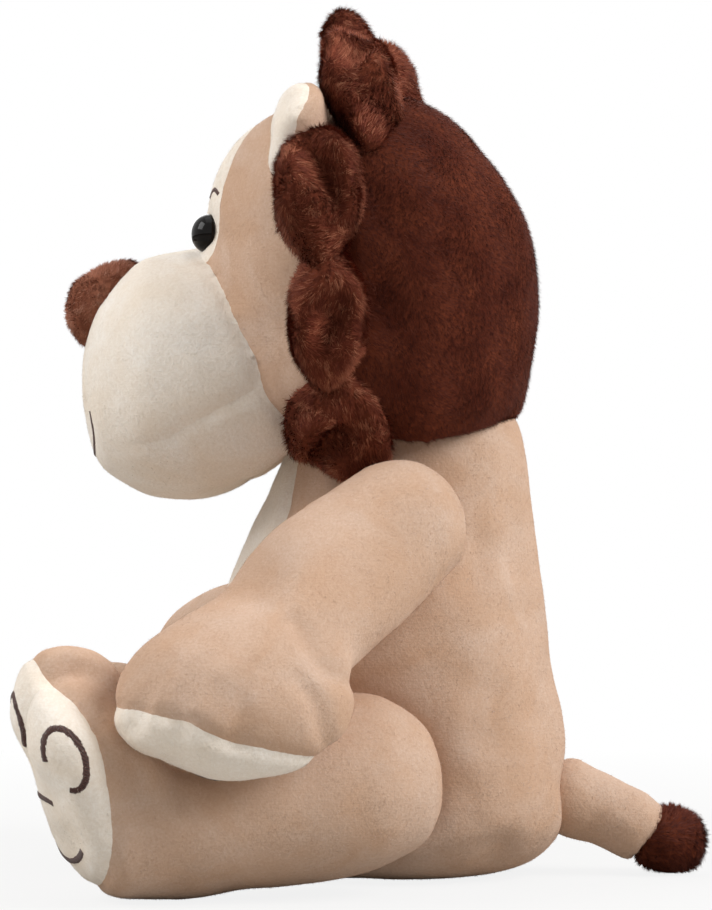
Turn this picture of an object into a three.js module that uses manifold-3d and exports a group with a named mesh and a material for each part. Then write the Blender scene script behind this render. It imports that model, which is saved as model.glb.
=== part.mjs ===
// A seated plush lion, sewn from cloth panels over stuffing.
// Millimetres, +Z up. The lion faces -Y, its left side is +X, and the origin is the middle of its seat.
import * as THREE from "three";
import { mergeVertices } from "three/addons/utils/BufferGeometryUtils.js";
import Module from "manifold-3d";

const wasm = await Module();
wasm.setup();

// Cloth and sewing
const skin = 2.4; // plush cloth with its pile pressed flat
const seam = 0.3; // gap where two pieces meet
const turnGap = 0.9; // gap round a ball that turns
const fillGap = 0.6; // gap between the cloth and its stuffing
const floorFlat = 0.5; // depth that a stuffed piece is pressed flat on the floor

// Torso
const torsoHeight = 138;
const torsoHalfWidth = 46;
const bellyReach = 60; // forwards from the middle of the seat
const backReach = 53; // backwards from it
const seatRound = 12; // height over which the seat rounds into the sides
const bellyPanelHalfWidth = 30;
const bellyPanelUnder = 20; // the panel's outline runs on below the seat
const bellyPanelOver = 8; // and above the neck
const bellyPanelBack = 12; // how far in front of the middle the panel ends on the sides
const seatPanelHalfWidth = 22; // the tongue of the panel that runs under the seat
const seatPanelBack = 26;

// Neck: a ball whose lower part is the top of the torso
const neckSink = 38; // from the top of the torso down to the middle of the ball
const neckHeight = torsoHeight - neckSink;
const neckRadius = 54;

// Head
const headLift = 27; // from the middle of the neck ball up to the jaw
const headTall = 121;
const headLow = neckHeight + headLift;
const headHigh = headLow + headTall;
const headHalfWidth = 60;
const faceReach = 65;
const napeReach = 42.6;
const maneSeam = 20; // how far in front of the middle the face meets the back of the head
const foreheadLowHalfWidth = 25;
const foreheadHighHalfWidth = 20;
const foreheadTall = 58;
const jawRound = 22; // height over which the jaw rounds in below
const crownRound = 10; // and the crown above

// Muzzle and nose
const muzzleFront = 102;
const muzzleBack = 38;
const muzzleHalfWidth = 46;
const muzzleHalfHeight = 39;
const muzzleLift = 33; // from the jaw up to the middle of the muzzle
const muzzleHeight = headLow + muzzleLift;
const muzzleDrop = 3; // how much lower its front lies
const muzzleRound = 20;
const mouthDrop = 22; // from the middle of the muzzle down to the mouth
const mouthHeight = muzzleHeight - mouthDrop;
const chinSeamRise = 18; // from the mouth up to where the seam over the chin meets the cheek
const noseFront = 108.5;
const noseBack = 82;
const noseLift = 21; // from the middle of the muzzle up to the nose
const noseHeight = muzzleHeight + noseLift;
const noseRootLift = 2;
const noseTipDrop = 1;
const noseHalfWidth = 17.5;
const noseHalfHeight = 14;
const noseRootRound = 5;
const noseTipRound = 13;

// Eyes
const eyeRadius = 6;
const eyeRise = 4.6; // height of the dome over the cloth
const eyeSpread = 16.5; // from the middle of the face
const eyeClear = 4; // from the top of the muzzle up to the middle of the eye
const eyeHeight = muzzleHeight + muzzleHalfHeight + eyeClear;
const stemRadius = 2;
const stemTail = 2; // stem left behind the washer
const washerRadius = 7;
const washerThick = 1.5;
const washerLift = 1.4; // from the cloth to the washer, which lies flat on a curve

// Mane
const maneLobes = 9;
const maneStart = -44; // degrees from the left, round the face
const maneStep = 33.5;
const maneLift = 68; // from the jaw up to the middle of the ring of lobes
const maneHeight = headLow + maneLift;
const maneRing = 60; // radius of that ring
const maneDepth = 20; // how far in front of the middle the ring lies at the sides
const maneLean = 6; // how much farther back its top lies
const lobeReach = 22; // half sizes of a lobe: outwards, along the ring and through it
const lobeHalfWidth = 16.8;
const lobeHalfThick = 12;
const lobeRootRound = 8;
const lobeTipRound = 12;
const lobeStagger = 2; // every other lobe lies this much behind the next
const lobeShrink = 0.25; // share that a lobe straight below the face would lose

// Ears
const earHalfWidth = 14;
const earTall = 20; // above its hinge line
const earHalfThick = 5.5;
const earTipRound = 13;
const earAngle = 42; // degrees up from the left
const earDepth = 36; // in front of the middle
const earSink = 1; // how deep the rounded foot of the ear sits in the cloth

// Arms
const shoulderReach = 38; // from the middle to the flat of the shoulder
const shoulderDrop = 31; // below the top of the torso
const shoulderHeight = torsoHeight - shoulderDrop;
const shoulderDepth = 4; // in front of the middle
const shoulderLean = 14; // degrees that the flat faces upwards
const armSeat = 12; // from that flat to the middle of the arm
const armHalfWidth = 25;
const armHalfThick = 19.5;
const armRise = 4; // how far the arm bows up between the shoulder and the paw
const armTopRound = 15;
const pawRound = 18;
const pawReach = 108; // sideways to the middle of the end of the paw
const pawFront = 70; // forwards to it
const pawHeight = 50; // and up to it
const palmLift = 10; // from the middle of the end of the paw up to the palm seam at the toes
const palmHigh = pawHeight + palmLift;
const palmSlope = 14; // degrees that the seam falls towards the heel of the paw
const palmLong = 58;

// Legs
const hipReach = 38; // from the middle to the flat of the hip
const hipDepth = 20;
const hipHeight = 31;
const thighSeat = 22; // from that flat to the middle of the thigh
const thighHalfWidth = 27;
const thighRear = 29; // behind the hip
const thighRound = 20;
const ankleHalf = 22;
const footHalfHeight = 37;
const footHalfWidth = 28;
const footReach = 80; // sideways to the middle of the sole
const soleFront = 106; // forwards to the middle of the sole
const soleLean = 24; // degrees that the top of the sole leans forwards
const soleRound = 9;
const soleDepth = 20; // width of the cream band round the sole

// Tail
const tailDepth = 53.5;
const tailHeight = 24;
const tailRadius = 12.5;
const tailTip = 82;
const tailTipHeight = 12;
const tailSag = 2; // how far the middle of the tail lies below its root
const tailTipRound = 5;
const tuftRadius = 11.5;
const tuftTip = 96;
const tuftRound = 10;

// Colours
const beige = new THREE.MeshStandardMaterial({ color: "#d4b292", roughness: 0.95, metalness: 0 });
const cream = new THREE.MeshStandardMaterial({ color: "#e6dccb", roughness: 0.95, metalness: 0 });
const brown = new THREE.MeshStandardMaterial({ color: "#5a2a1c", roughness: 0.95, metalness: 0 });
const noseBrown = new THREE.MeshStandardMaterial({ color: "#7a4534", roughness: 0.9, metalness: 0 });
const glossBlack = new THREE.MeshStandardMaterial({ color: "#0d0b0a", roughness: 0.08, metalness: 0 });
const clearPlastic = new THREE.MeshStandardMaterial({ color: "#d8d8d4", roughness: 0.4, metalness: 0 });
const fibre = new THREE.MeshStandardMaterial({ color: "#f2f0ea", roughness: 1, metalness: 0 });

const reach = 500; // size of a block that cuts away one side of everything
const smallBallSides = 12;
const axisX = new THREE.Vector3(1, 0, 0);
const axisY = new THREE.Vector3(0, 1, 0);
const axisZ = new THREE.Vector3(0, 0, 1);
const forwards = new THREE.Vector3(0, -1, 0);
const radians = THREE.MathUtils.degToRad;

// Solids

function solid(geometry) {
  const bare = geometry.index ? geometry : geometry.clone();
  for (const name of Object.keys(bare.attributes)) {
    if (name !== "position") bare.deleteAttribute(name);
  }
  const merged = mergeVertices(bare, 1e-4);
  const vertProperties = new Float32Array(merged.attributes.position.array);
  const triVerts = new Uint32Array(merged.index.array);
  return new wasm.Manifold(new wasm.Mesh({ numProp: 3, vertProperties, triVerts }));
}

function geometryOf(body) {
  const mesh = body.getMesh();
  const geometry = new THREE.BufferGeometry();
  const corners = new Float32Array(mesh.vertProperties);
  geometry.setAttribute("position", new THREE.BufferAttribute(corners, 3));
  geometry.setIndex(new THREE.BufferAttribute(new Uint32Array(mesh.triVerts), 1));
  return geometry;
}

// The same body on the lion's other side.
function otherSide(body) {
  const geometry = geometryOf(body);
  geometry.applyMatrix4(new THREE.Matrix4().makeScale(-1, 1, 1));
  const corners = geometry.index.array;
  for (let i = 0; i < corners.length; i += 3) {
    const kept = corners[i + 1];
    corners[i + 1] = corners[i + 2];
    corners[i + 2] = kept;
  }
  return solid(geometry);
}

// Everything on the far side of a plane, in the direction of its normal.
function beyond(normal, distance) {
  const block = new THREE.BoxGeometry(reach, reach, reach);
  const turn = new THREE.Quaternion().setFromUnitVectors(axisX, normal);
  block.applyQuaternion(turn);
  const middle = normal.clone().multiplyScalar(distance + reach / 2);
  block.translate(middle.x, middle.y, middle.z);
  return solid(block);
}

const leftOf = (distance) => beyond(axisX, distance);
const behind = (distance) => beyond(axisY, distance);
const inFrontOf = (distance) => beyond(forwards, distance);
const above = (height) => beyond(axisZ, height);

function ball(centre, radius, sides = 28) {
  const sphere = new THREE.SphereGeometry(radius, sides, (3 * sides) / 4);
  sphere.translate(centre.x, centre.y, centre.z);
  return solid(sphere);
}

// An outline in the plane seen from the front, cut through from front to back.
function throughFront(shape, front, back) {
  const depth = back - front;
  const cut = new THREE.ExtrudeGeometry(shape, { depth, bevelEnabled: false, curveSegments: 14 });
  cut.rotateX(Math.PI / 2);
  cut.translate(0, back, 0);
  return solid(cut);
}

// An outline of points [y, z] seen from the side, cut through from right to left.
function throughSide(points, right, left) {
  const shape = new THREE.Shape(points.map(([y, z]) => new THREE.Vector2(y, z)));
  const cut = new THREE.ExtrudeGeometry(shape, { depth: left - right, bevelEnabled: false });
  cut.applyMatrix4(new THREE.Matrix4().makeBasis(axisY, axisZ, axisX));
  cut.translate(right, 0, 0);
  return solid(cut);
}

// A stuffed form: rings along a smooth spine, swelling and tapering from station to station.
// Each station has its middle `at`, its half sizes `across` and `up`, and a forward `lean` in degrees.
// An end closes over `round` mm down to a flat share of the ring. `inset` shrinks the form on every side.
// Rings lie square to the spine, or to `facing` where a form has one.
function stuffedForm(form, inset = 0) {
  const { stations, sideways, facing, sides, rows, fullness = 2, first, last } = form;
  const spine = new THREE.CatmullRomCurve3(stations.map((s) => s.at));
  const sizes = new THREE.CatmullRomCurve3(
    stations.map((s) => new THREE.Vector3(s.across, s.up, s.lean ?? 0)),
  );
  const length = spine.getLength();
  const firstCut = first.open ? -1 : inset;
  const lastCut = last.open ? -1 : inset;
  const places = rowPlaces(firstCut, length - lastCut, first, last, rows);
  const points = [];
  const ringAt = (place) => {
    const t = spine.getUtoTmapping(THREE.MathUtils.clamp(place / length, 0, 1));
    const size = sizes.getPoint(t);
    const along = facing ?? spine.getTangent(t);
    const middle = spine.getPoint(t);
    middle.addScaledVector(along, Math.min(0, place) + Math.max(0, place - length));
    const across = sideways.clone().addScaledVector(along, -sideways.dot(along)).normalize();
    const upright = along.clone().cross(across);
    const lean = radians(size.z);
    const up = upright.multiplyScalar(Math.cos(lean)).addScaledVector(along, Math.sin(lean));
    return { middle, across, up, halfAcross: size.x - inset, halfUp: size.y - inset };
  };
  for (const place of places) {
    const ring = ringAt(place);
    const shrink = Math.min(
      endShare(place - firstCut, first, inset),
      endShare(length - lastCut - place, last, inset),
    );
    for (let side = 0; side < sides; side++) {
      const turn = (2 * Math.PI * side) / sides;
      const x = Math.sign(Math.cos(turn)) * Math.abs(Math.cos(turn)) ** (2 / fullness);
      const y = Math.sign(Math.sin(turn)) * Math.abs(Math.sin(turn)) ** (2 / fullness);
      const point = ring.middle.clone();
      point.addScaledVector(ring.across, x * ring.halfAcross * shrink);
      point.addScaledVector(ring.up, y * ring.halfUp * shrink);
      points.push(point);
    }
  }
  const firstPole = points.push(ringAt(places[0]).middle) - 1;
  const lastPole = points.push(ringAt(places.at(-1)).middle) - 1;
  const corners = [];
  for (let side = 0; side < sides; side++) {
    const next = (side + 1) % sides;
    const lastRing = (places.length - 1) * sides;
    corners.push(firstPole, next, side, lastPole, lastRing + side, lastRing + next);
    for (let ring = 0; ring < lastRing; ring += sides) {
      corners.push(ring + side, ring + next, ring + sides + side);
      corners.push(ring + next, ring + sides + next, ring + sides + side);
    }
  }
  const geometry = new THREE.BufferGeometry().setFromPoints(points);
  geometry.setIndex(corners);
  return solid(geometry);
}

// Share of the full ring at a distance from an end that rounds over.
function endShare(distance, end, inset) {
  const round = Math.max(end.round - inset, 0);
  if (end.open || distance >= round) return 1;
  return end.flat + (1 - end.flat) * Math.sqrt(1 - (1 - distance / round) ** 2);
}

// Rows along a spine, closer together where an end rounds over.
function rowPlaces(start, stop, first, last, rows) {
  const places = [];
  const startRound = first.open ? 0 : first.round;
  const stopRound = last.open ? 0 : last.round;
  for (const share of startRound ? [0, 0.25] : []) places.push(start + share * startRound);
  const low = start + startRound;
  const high = stop - stopRound;
  for (let row = 0; row <= rows; row++) places.push(low + ((high - low) * row) / rows);
  for (const share of stopRound ? [0.25, 0] : []) places.push(stop - share * stopRound);
  return places;
}

// Where a line from a point outside meets a form, and the direction that its surface faces there.
function surfaceAt(body, from, direction) {
  const mesh = new THREE.Mesh(geometryOf(body), new THREE.MeshBasicMaterial());
  const [hit] = new THREE.Raycaster(from, direction).intersectObject(mesh);
  return { point: hit.point, normal: hit.face.normal.clone() };
}

const at = (x, y, z) => new THREE.Vector3(x, y, z);

// A station of a form that stands upright, from where its front and back lie at a height.
function levelStation(height, front, back, halfWidth) {
  return { at: at(0, (back - front) / 2, height), across: halfWidth, up: (front + back) / 2 };
}

// The assembly: one group for each body that moves, placed at its joint

const lion = new THREE.Group();

function bodyAt(parent, place) {
  const body = new THREE.Group();
  const origin = parent === lion ? at(0, 0, 0) : parent.userData.place;
  body.userData.place = place;
  body.position.subVectors(place, origin);
  parent.add(body);
  return body;
}

function piece(body, name, shape, material) {
  const place = body.userData.place;
  const geometry = geometryOf(shape);
  geometry.translate(-place.x, -place.y, -place.z);
  geometry.computeVertexNormals();
  const mesh = new THREE.Mesh(geometry, material);
  mesh.name = name;
  body.add(mesh);
}

function pair(left, right, name, shape, material) {
  piece(left, name("left"), shape, material);
  piece(right, name("right"), otherSide(shape), material);
}

// Torso: two sides, the belly panel and the stuffing

// Shares of the height, the belly, the back and the width from the seat to the neck.
const torsoProfile = [
  [0, 0.91, 0.98, 0.98],
  [0.15, 0.94, 1, 1],
  [0.36, 1, 0.925, 0.98],
  [0.54, 0.99, 0.87, 0.92],
  [0.66, 0.95, 0.83, 0.87],
  [0.78, 0.84, 0.79, 0.83],
  [0.89, 0.71, 0.75, 0.78],
  [1, 0.53, 0.7, 0.71],
];
const torsoForm = {
  stations: torsoProfile.map(([height, front, back, width]) =>
    levelStation(height * torsoHeight, front * bellyReach, back * backReach, width * torsoHalfWidth),
  ),
  sideways: axisX,
  facing: axisZ,
  sides: 16,
  rows: 7,
  fullness: 2.2,
  first: { round: seatRound, flat: 0.8 },
  last: { round: 0, flat: 1 },
};
const torsoInside = { ...torsoForm, last: { open: true } };

const shoulderTilt = radians(shoulderLean);
const shoulderNormal = at(Math.cos(shoulderTilt), 0, Math.sin(shoulderTilt));
const shoulder = at(shoulderReach, -shoulderDepth, shoulderHeight);
const shoulderDistance = shoulder.dot(shoulderNormal);
const hip = at(hipReach, -hipDepth, hipHeight);
const tailRoot = at(0, tailDepth, tailHeight);

// The hollow beside the torso that a thigh turns in.
function hipHollow() {
  const room = Math.hypot(thighRear, hipHeight) / Math.SQRT2 + skin;
  const disc = new THREE.CylinderGeometry(room, room, reach, 20);
  disc.rotateZ(Math.PI / 2);
  disc.translate(hipReach + reach / 2, hip.y, hip.z);
  const ahead = new THREE.BoxGeometry(reach, reach, 2 * room);
  ahead.translate(hipReach + reach / 2, hip.y - reach / 2, hip.z);
  return solid(disc).add(solid(ahead));
}

function trimmedTorso(body) {
  const rightNormal = at(-shoulderNormal.x, 0, shoulderNormal.z);
  const hollow = hipHollow();
  return body
    .subtract(beyond(shoulderNormal, shoulderDistance - seam / 2))
    .subtract(beyond(rightNormal, shoulderDistance - seam / 2))
    .subtract(hollow)
    .subtract(otherSide(hollow))
    .subtract(ball(tailRoot, tailRadius + turnGap, smallBallSides))
    .subtract(above(torsoHeight));
}

// The belly panel: an oval seen from the front, and its tongue seen from below.
function bellyCut(growth) {
  const halfHeight = (torsoHeight + bellyPanelOver + bellyPanelUnder) / 2;
  const halfWidth = bellyPanelHalfWidth + growth;
  const oval = new THREE.Shape();
  oval.absellipse(0, halfHeight - bellyPanelUnder, halfWidth, halfHeight + growth, 0, 2 * Math.PI);
  const tongue = new THREE.Shape();
  const tongueHalf = (bellyReach + seatPanelBack) / 2;
  const tongueMiddle = seatPanelBack - tongueHalf;
  tongue.absellipse(0, tongueMiddle, seatPanelHalfWidth + growth, tongueHalf + growth, 0, 2 * Math.PI);
  const underDepth = { depth: 2 * skin, bevelEnabled: false, curveSegments: 10 };
  const under = new THREE.ExtrudeGeometry(tongue, underDepth);
  under.translate(0, 0, -skin / 2);
  return throughFront(oval, -reach, -bellyPanelBack + growth).add(solid(under));
}

const torso = bodyAt(lion, at(0, 0, 0));
const torsoSkin = trimmedTorso(stuffedForm(torsoForm)).subtract(stuffedForm(torsoInside, skin));
const torsoSide = torsoSkin.intersect(leftOf(seam / 2)).subtract(bellyCut(seam));
pair(torso, torso, (side) => `torso_panel_${side}`, torsoSide, beige);
piece(torso, "belly_panel", torsoSkin.intersect(bellyCut(0)), cream);
piece(torso, "torso_stuffing", trimmedTorso(stuffedForm(torsoInside, skin + fillGap)), fibre);

// Neck: the stuffing that the head turns and nods on

const neckMiddle = at(0, 0, neckHeight);
const neck = bodyAt(torso, neckMiddle);
const neckBall = ball(neckMiddle, neckRadius);
piece(neck, "neck_stuffing", neckBall.intersect(above(torsoHeight + seam)), fibre);

// Head: the skull form, its panels and its stuffing

// Shares of the height, the face, the nape and the width from the jaw to the crown.
const headProfile = [
  [0, 0.77, 0.87, 0.7],
  [0.2, 0.92, 0.94, 0.91],
  [0.38, 0.985, 0.985, 0.98],
  [0.53, 1, 1, 1],
  [0.67, 0.985, 0.96, 0.97],
  [0.81, 0.92, 0.75, 0.87],
  [0.92, 0.83, 0.5, 0.7],
  [1, 0.7, 0.28, 0.57],
];
const headForm = {
  stations: headProfile.map(([height, front, back, width]) =>
    levelStation(
      headLow + height * (headHigh - headLow),
      front * faceReach,
      back * napeReach,
      width * headHalfWidth,
    ),
  ),
  sideways: axisX,
  facing: axisZ,
  sides: 18,
  rows: 6,
  fullness: 2.1,
  first: { round: jawRound, flat: 0.35 },
  last: { round: crownRound, flat: 0.45 },
};
// How far forwards a share of the muzzle's depth lies.
const muzzleDepth = (share) => THREE.MathUtils.lerp(muzzleBack, muzzleFront, share);
const muzzleForm = {
  stations: [
    [0, 0, 0.96, 0.97],
    [0.34, 0, 1, 1],
    [0.66, 0, 0.93, 0.98],
    [1, muzzleDrop, 0.78, 0.84],
  ].map(([share, drop, width, height]) => ({
    at: at(0, -muzzleDepth(share), muzzleHeight - drop),
    across: width * muzzleHalfWidth,
    up: height * muzzleHalfHeight,
  })),
  sideways: axisX,
  facing: forwards,
  sides: 16,
  rows: 3,
  fullness: 2.15,
  first: { round: 0, flat: 1 },
  last: { round: muzzleRound, flat: 0.3 },
};

const head = bodyAt(neck, neckMiddle);
const headBall = ball(neckMiddle, neckRadius + turnGap);
const headWhole = stuffedForm(headForm);
const headSkin = headWhole.subtract(stuffedForm(headForm, skin)).subtract(headBall);
const muzzleWhole = stuffedForm(muzzleForm);
const muzzleRoom = stuffedForm(muzzleForm, -seam);
const headClear = stuffedForm(headForm, -2 * seam);

// Eyes and ears find their places on the head.
const eyeSeat = surfaceAt(headWhole, at(eyeSpread, -reach, eyeHeight), axisY);
const earOutwards = at(Math.cos(radians(earAngle)), 0, Math.sin(radians(earAngle)));
const earAlong = at(earOutwards.z, 0, -earOutwards.x);
const earMiddle = at(0, -earDepth, (headLow + headHigh) / 2);
const earFoot = surfaceAt(
  headWhole,
  earMiddle.clone().addScaledVector(earOutwards, reach),
  earOutwards.clone().negate(),
);
const earHinge = earFoot.point.clone().addScaledVector(earOutwards, earHalfThick - earSink);

// A round bar or disc along a direction, from one distance to another.
function roundBar(origin, direction, radius, from, to, sides = 12) {
  const bar = new THREE.CylinderGeometry(radius, radius, to - from, sides);
  bar.translate(0, (from + to) / 2, 0);
  bar.applyQuaternion(new THREE.Quaternion().setFromUnitVectors(axisY, direction));
  bar.translate(origin.x, origin.y, origin.z);
  return solid(bar);
}

const washerFace = -(skin + washerLift);
const washerBack = washerFace - washerThick;
const stemEnd = washerBack - stemTail;
const eyeHole = roundBar(eyeSeat.point, eyeSeat.normal, stemRadius + seam, -2 * skin, eyeRise);
const washerHole = roundBar(eyeSeat.point, eyeSeat.normal, stemRadius + seam, stemEnd, 0);
const washerRoom = roundBar(eyeSeat.point, eyeSeat.normal, washerRadius + seam, washerBack - seam, 0);
const stemRoom = roundBar(eyeSeat.point, eyeSeat.normal, stemRadius + seam, stemEnd - seam, 0);
const earRoom = roundBar(
  earHinge,
  earAlong,
  earHalfThick + turnGap / 2,
  -earHalfWidth - seam,
  earHalfWidth + seam,
);

function foreheadCut(growth) {
  const low = foreheadLowHalfWidth + growth;
  const high = foreheadHighHalfWidth + growth;
  const shape = new THREE.Shape([
    new THREE.Vector2(-low, headHigh - foreheadTall - growth),
    new THREE.Vector2(low, headHigh - foreheadTall - growth),
    new THREE.Vector2(high, headHigh + skin),
    new THREE.Vector2(-high, headHigh + skin),
  ]);
  return throughFront(shape, -reach, -maneSeam + growth);
}

const headBackSide = headSkin.intersect(behind(-maneSeam + seam)).intersect(leftOf(seam / 2));
pair(head, head, (side) => `head_back_${side}`, headBackSide.subtract(earRoom), brown);

const faceSkin = headSkin.intersect(inFrontOf(maneSeam)).subtract(muzzleRoom);
const faceSide = faceSkin
  .intersect(leftOf(seam / 2))
  .subtract(foreheadCut(seam))
  .subtract(earRoom);
pair(head, head, (side) => `face_panel_${side}`, faceSide, beige);
const foreheadPanel = faceSkin
  .intersect(foreheadCut(0))
  .subtract(eyeHole)
  .subtract(otherSide(eyeHole));
piece(head, "forehead_panel", foreheadPanel, cream);

const headStuffing = stuffedForm(headForm, skin + fillGap)
  .subtract(headBall)
  .subtract(washerRoom)
  .subtract(otherSide(washerRoom))
  .subtract(stemRoom)
  .subtract(otherSide(stemRoom))
  .subtract(earRoom)
  .subtract(otherSide(earRoom));
piece(head, "head_stuffing", headStuffing, fibre);

// Muzzle, chin and nose

// The seam over the chin runs level from the mouth and climbs to the cheek.
function chinCut(growth) {
  return throughSide(
    [
      [-muzzleFront - reach, mouthHeight + growth],
      [-muzzleDepth(0.66), mouthHeight + growth],
      [-muzzleDepth(0.38), mouthHeight + 0.3 * chinSeamRise + growth],
      [-muzzleDepth(0.11), mouthHeight + chinSeamRise + growth],
      [0, mouthHeight + 3 * chinSeamRise + growth],
      [0, -reach],
      [-muzzleFront - reach, -reach],
    ],
    -reach,
    reach,
  );
}

const noseForm = {
  stations: [
    { at: at(0, -noseBack, noseHeight + noseRootLift), across: noseHalfWidth, up: noseHalfHeight },
    {
      at: at(0, -noseFront, noseHeight - noseTipDrop),
      across: 0.9 * noseHalfWidth,
      up: 0.9 * noseHalfHeight,
    },
  ],
  sideways: axisX,
  sides: 16,
  rows: 2,
  first: { round: noseRootRound, flat: 0.5 },
  last: { round: noseTipRound, flat: 0.25 },
};
const muzzleSkin = muzzleWhole
  .subtract(stuffedForm({ ...muzzleForm, first: { open: true } }, skin))
  .subtract(headClear)
  .subtract(headBall);
piece(head, "muzzle_panel", muzzleSkin.subtract(chinCut(seam)), cream);
piece(head, "chin_panel", muzzleSkin.intersect(chinCut(0)), cream);
const muzzleStuffing = stuffedForm(muzzleForm, skin + fillGap)
  .subtract(stuffedForm(headForm, skin))
  .subtract(headBall)
  .intersect(inFrontOf(muzzleBack));
piece(head, "muzzle_stuffing", muzzleStuffing, fibre);
piece(head, "nose", stuffedForm(noseForm).subtract(muzzleRoom).subtract(headClear), noseBrown);

// Eyes: a glossy dome on a stem, held by a washer behind the cloth

function eyeDome() {
  const steps = 5;
  const dome = [];
  for (let step = 0; step <= steps; step++) {
    const turn = (step * Math.PI) / 2 / steps;
    const radius = step === 0 ? 0 : eyeRadius * Math.sin(turn);
    dome.push(new THREE.Vector2(radius, seam + (eyeRise - seam) * Math.cos(turn)));
  }
  const stem = [
    new THREE.Vector2(stemRadius, seam),
    new THREE.Vector2(stemRadius, stemEnd),
    new THREE.Vector2(0, stemEnd),
  ];
  const turned = new THREE.LatheGeometry([...dome, ...stem].reverse(), 12);
  turned.applyQuaternion(new THREE.Quaternion().setFromUnitVectors(axisY, eyeSeat.normal));
  turned.translate(eyeSeat.point.x, eyeSeat.point.y, eyeSeat.point.z);
  return solid(turned);
}

const washer = roundBar(eyeSeat.point, eyeSeat.normal, washerRadius, washerBack, washerFace);
pair(head, head, (side) => `eye_${side}`, eyeDome(), glossBlack);
pair(head, head, (side) => `eye_washer_${side}`, washer.subtract(washerHole), clearPlastic);

// Mane: puffed lobes sewn round the seam between the face and the back of the head

for (let lobe = 0; lobe < maneLobes; lobe++) {
  const turn = radians(maneStart + lobe * maneStep);
  const outwards = at(Math.cos(turn), 0, Math.sin(turn));
  const depth = -maneDepth + maneLean * Math.sin(turn) + (lobe % 2 ? lobeStagger : 0);
  const middle = at(0, depth, maneHeight).addScaledVector(outwards, maneRing);
  const size = 1 + lobeShrink * Math.min(0, Math.sin(turn));
  const lobeForm = {
    stations: [
      [-1, 0.75],
      [0, 1],
      [1, 1.2],
    ].map(([share, width]) => ({
      at: middle.clone().addScaledVector(outwards, share * lobeReach * size),
      across: width * lobeHalfWidth * size,
      up: lobeHalfThick,
    })),
    sideways: at(-outwards.z, 0, outwards.x),
    sides: 10,
    rows: 2,
    first: { round: lobeRootRound, flat: 0.6 },
    last: { round: lobeTipRound, flat: 0.35 },
  };
  const puff = stuffedForm(lobeForm).subtract(headClear).subtract(headBall);
  piece(head, `mane_lobe_${lobe + 1}`, puff, brown);
}

// Ears: a cream front and a beige back, folding on a rounded foot

const earForm = {
  stations: [
    [-earHalfThick, 1],
    [0.4 * earTall, 1],
    [earTall, 0.8],
  ].map(([height, size]) => ({
    at: earHinge.clone().addScaledVector(earOutwards, height),
    across: size * earHalfWidth,
    up: size * earHalfThick,
  })),
  sideways: earAlong,
  sides: 14,
  rows: 2,
  first: { round: 0, flat: 1 },
  last: { round: earTipRound, flat: 0.3 },
};
const earTop = stuffedForm(earForm).intersect(beyond(earOutwards, earHinge.dot(earOutwards)));
const earBarHalf = 0.75 * earHalfWidth;
const earBar = roundBar(earHinge, earAlong, earHalfThick, -earBarHalf, earBarHalf, 16);
const earWhole = earTop.add(earBar);
const earLeft = bodyAt(head, earHinge);
const earRight = bodyAt(head, at(-earHinge.x, earHinge.y, earHinge.z));
const earFront = earWhole.intersect(inFrontOf(-earHinge.y + seam / 2));
const earBack = earWhole.intersect(behind(earHinge.y + seam / 2));
pair(earLeft, earRight, (side) => `ear_${side}_inner`, earFront, cream);
pair(earLeft, earRight, (side) => `ear_${side}_back`, earBack, beige);

// Arms: a cover with a cream palm, sewn flat to the shoulder

// A point on the line from the shoulder to the end of the paw, raised by some height.
const armTop = at(shoulderReach + armSeat, -shoulderDepth, shoulderHeight);
const armEnd = at(pawReach, -pawFront, pawHeight);
const armPoint = (share, rise = 0) => armTop.clone().lerp(armEnd, share).add(at(0, 0, rise));
const armForm = {
  stations: [
    { at: armPoint(-0.12, 0.4 * armHalfWidth), across: 0.9, up: 0.84 },
    { at: armPoint(0, 0.25 * armRise), across: 0.97, up: 0.92 },
    { at: armPoint(0.3, armRise), across: 0.97, up: 1 },
    { at: armPoint(0.6, armRise), across: 1, up: 1.04 },
    { at: armPoint(0.82, 0.5 * armRise), across: 1, up: 1.14 },
    { at: armPoint(1), across: 0.95, up: 1 },
  ].map((station) => ({
    at: station.at,
    across: station.across * armHalfThick,
    up: station.up * armHalfWidth,
  })),
  sideways: shoulderNormal,
  sides: 12,
  rows: 4,
  first: { round: armTopRound, flat: 0.3 },
  last: { round: pawRound, flat: 0.5 },
};

function armBody(inset) {
  const outside = beyond(shoulderNormal, shoulderDistance + seam / 2 + inset);
  return stuffedForm(armForm, inset).intersect(outside);
}

// The seam above the palm falls from the toes to the heel.
function palmCut(growth) {
  const toes = -pawFront - 0.6 * armHalfWidth;
  const heel = toes + palmLong + growth;
  const fall = (palmLong + growth) * Math.tan(radians(palmSlope));
  return throughSide(
    [
      [toes - reach, palmHigh + growth],
      [toes, palmHigh + growth],
      [heel, palmHigh + growth - fall],
      [heel, -reach],
      [toes - reach, -reach],
    ],
    0,
    reach,
  );
}

const armLeft = bodyAt(torso, shoulder);
const armRight = bodyAt(torso, at(-shoulder.x, shoulder.y, shoulder.z));
const armSkin = armBody(0).subtract(armBody(skin));
pair(armLeft, armRight, (side) => `arm_${side}_cover`, armSkin.subtract(palmCut(seam)), beige);
pair(armLeft, armRight, (side) => `arm_${side}_palm`, armSkin.intersect(palmCut(0)), cream);
pair(armLeft, armRight, (side) => `arm_${side}_stuffing`, armBody(skin + fillGap), fibre);

// Legs: a cover with a cream sole, sewn flat to the hip and lying on the floor

const thigh = at(hipReach + thighSeat, -hipDepth, hipHeight - floorFlat);
const sole = at(footReach, -soleFront, footHalfHeight - floorFlat);
const legRun = at(sole.x - thigh.x, sole.y - thigh.y, 0).normalize();
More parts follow.
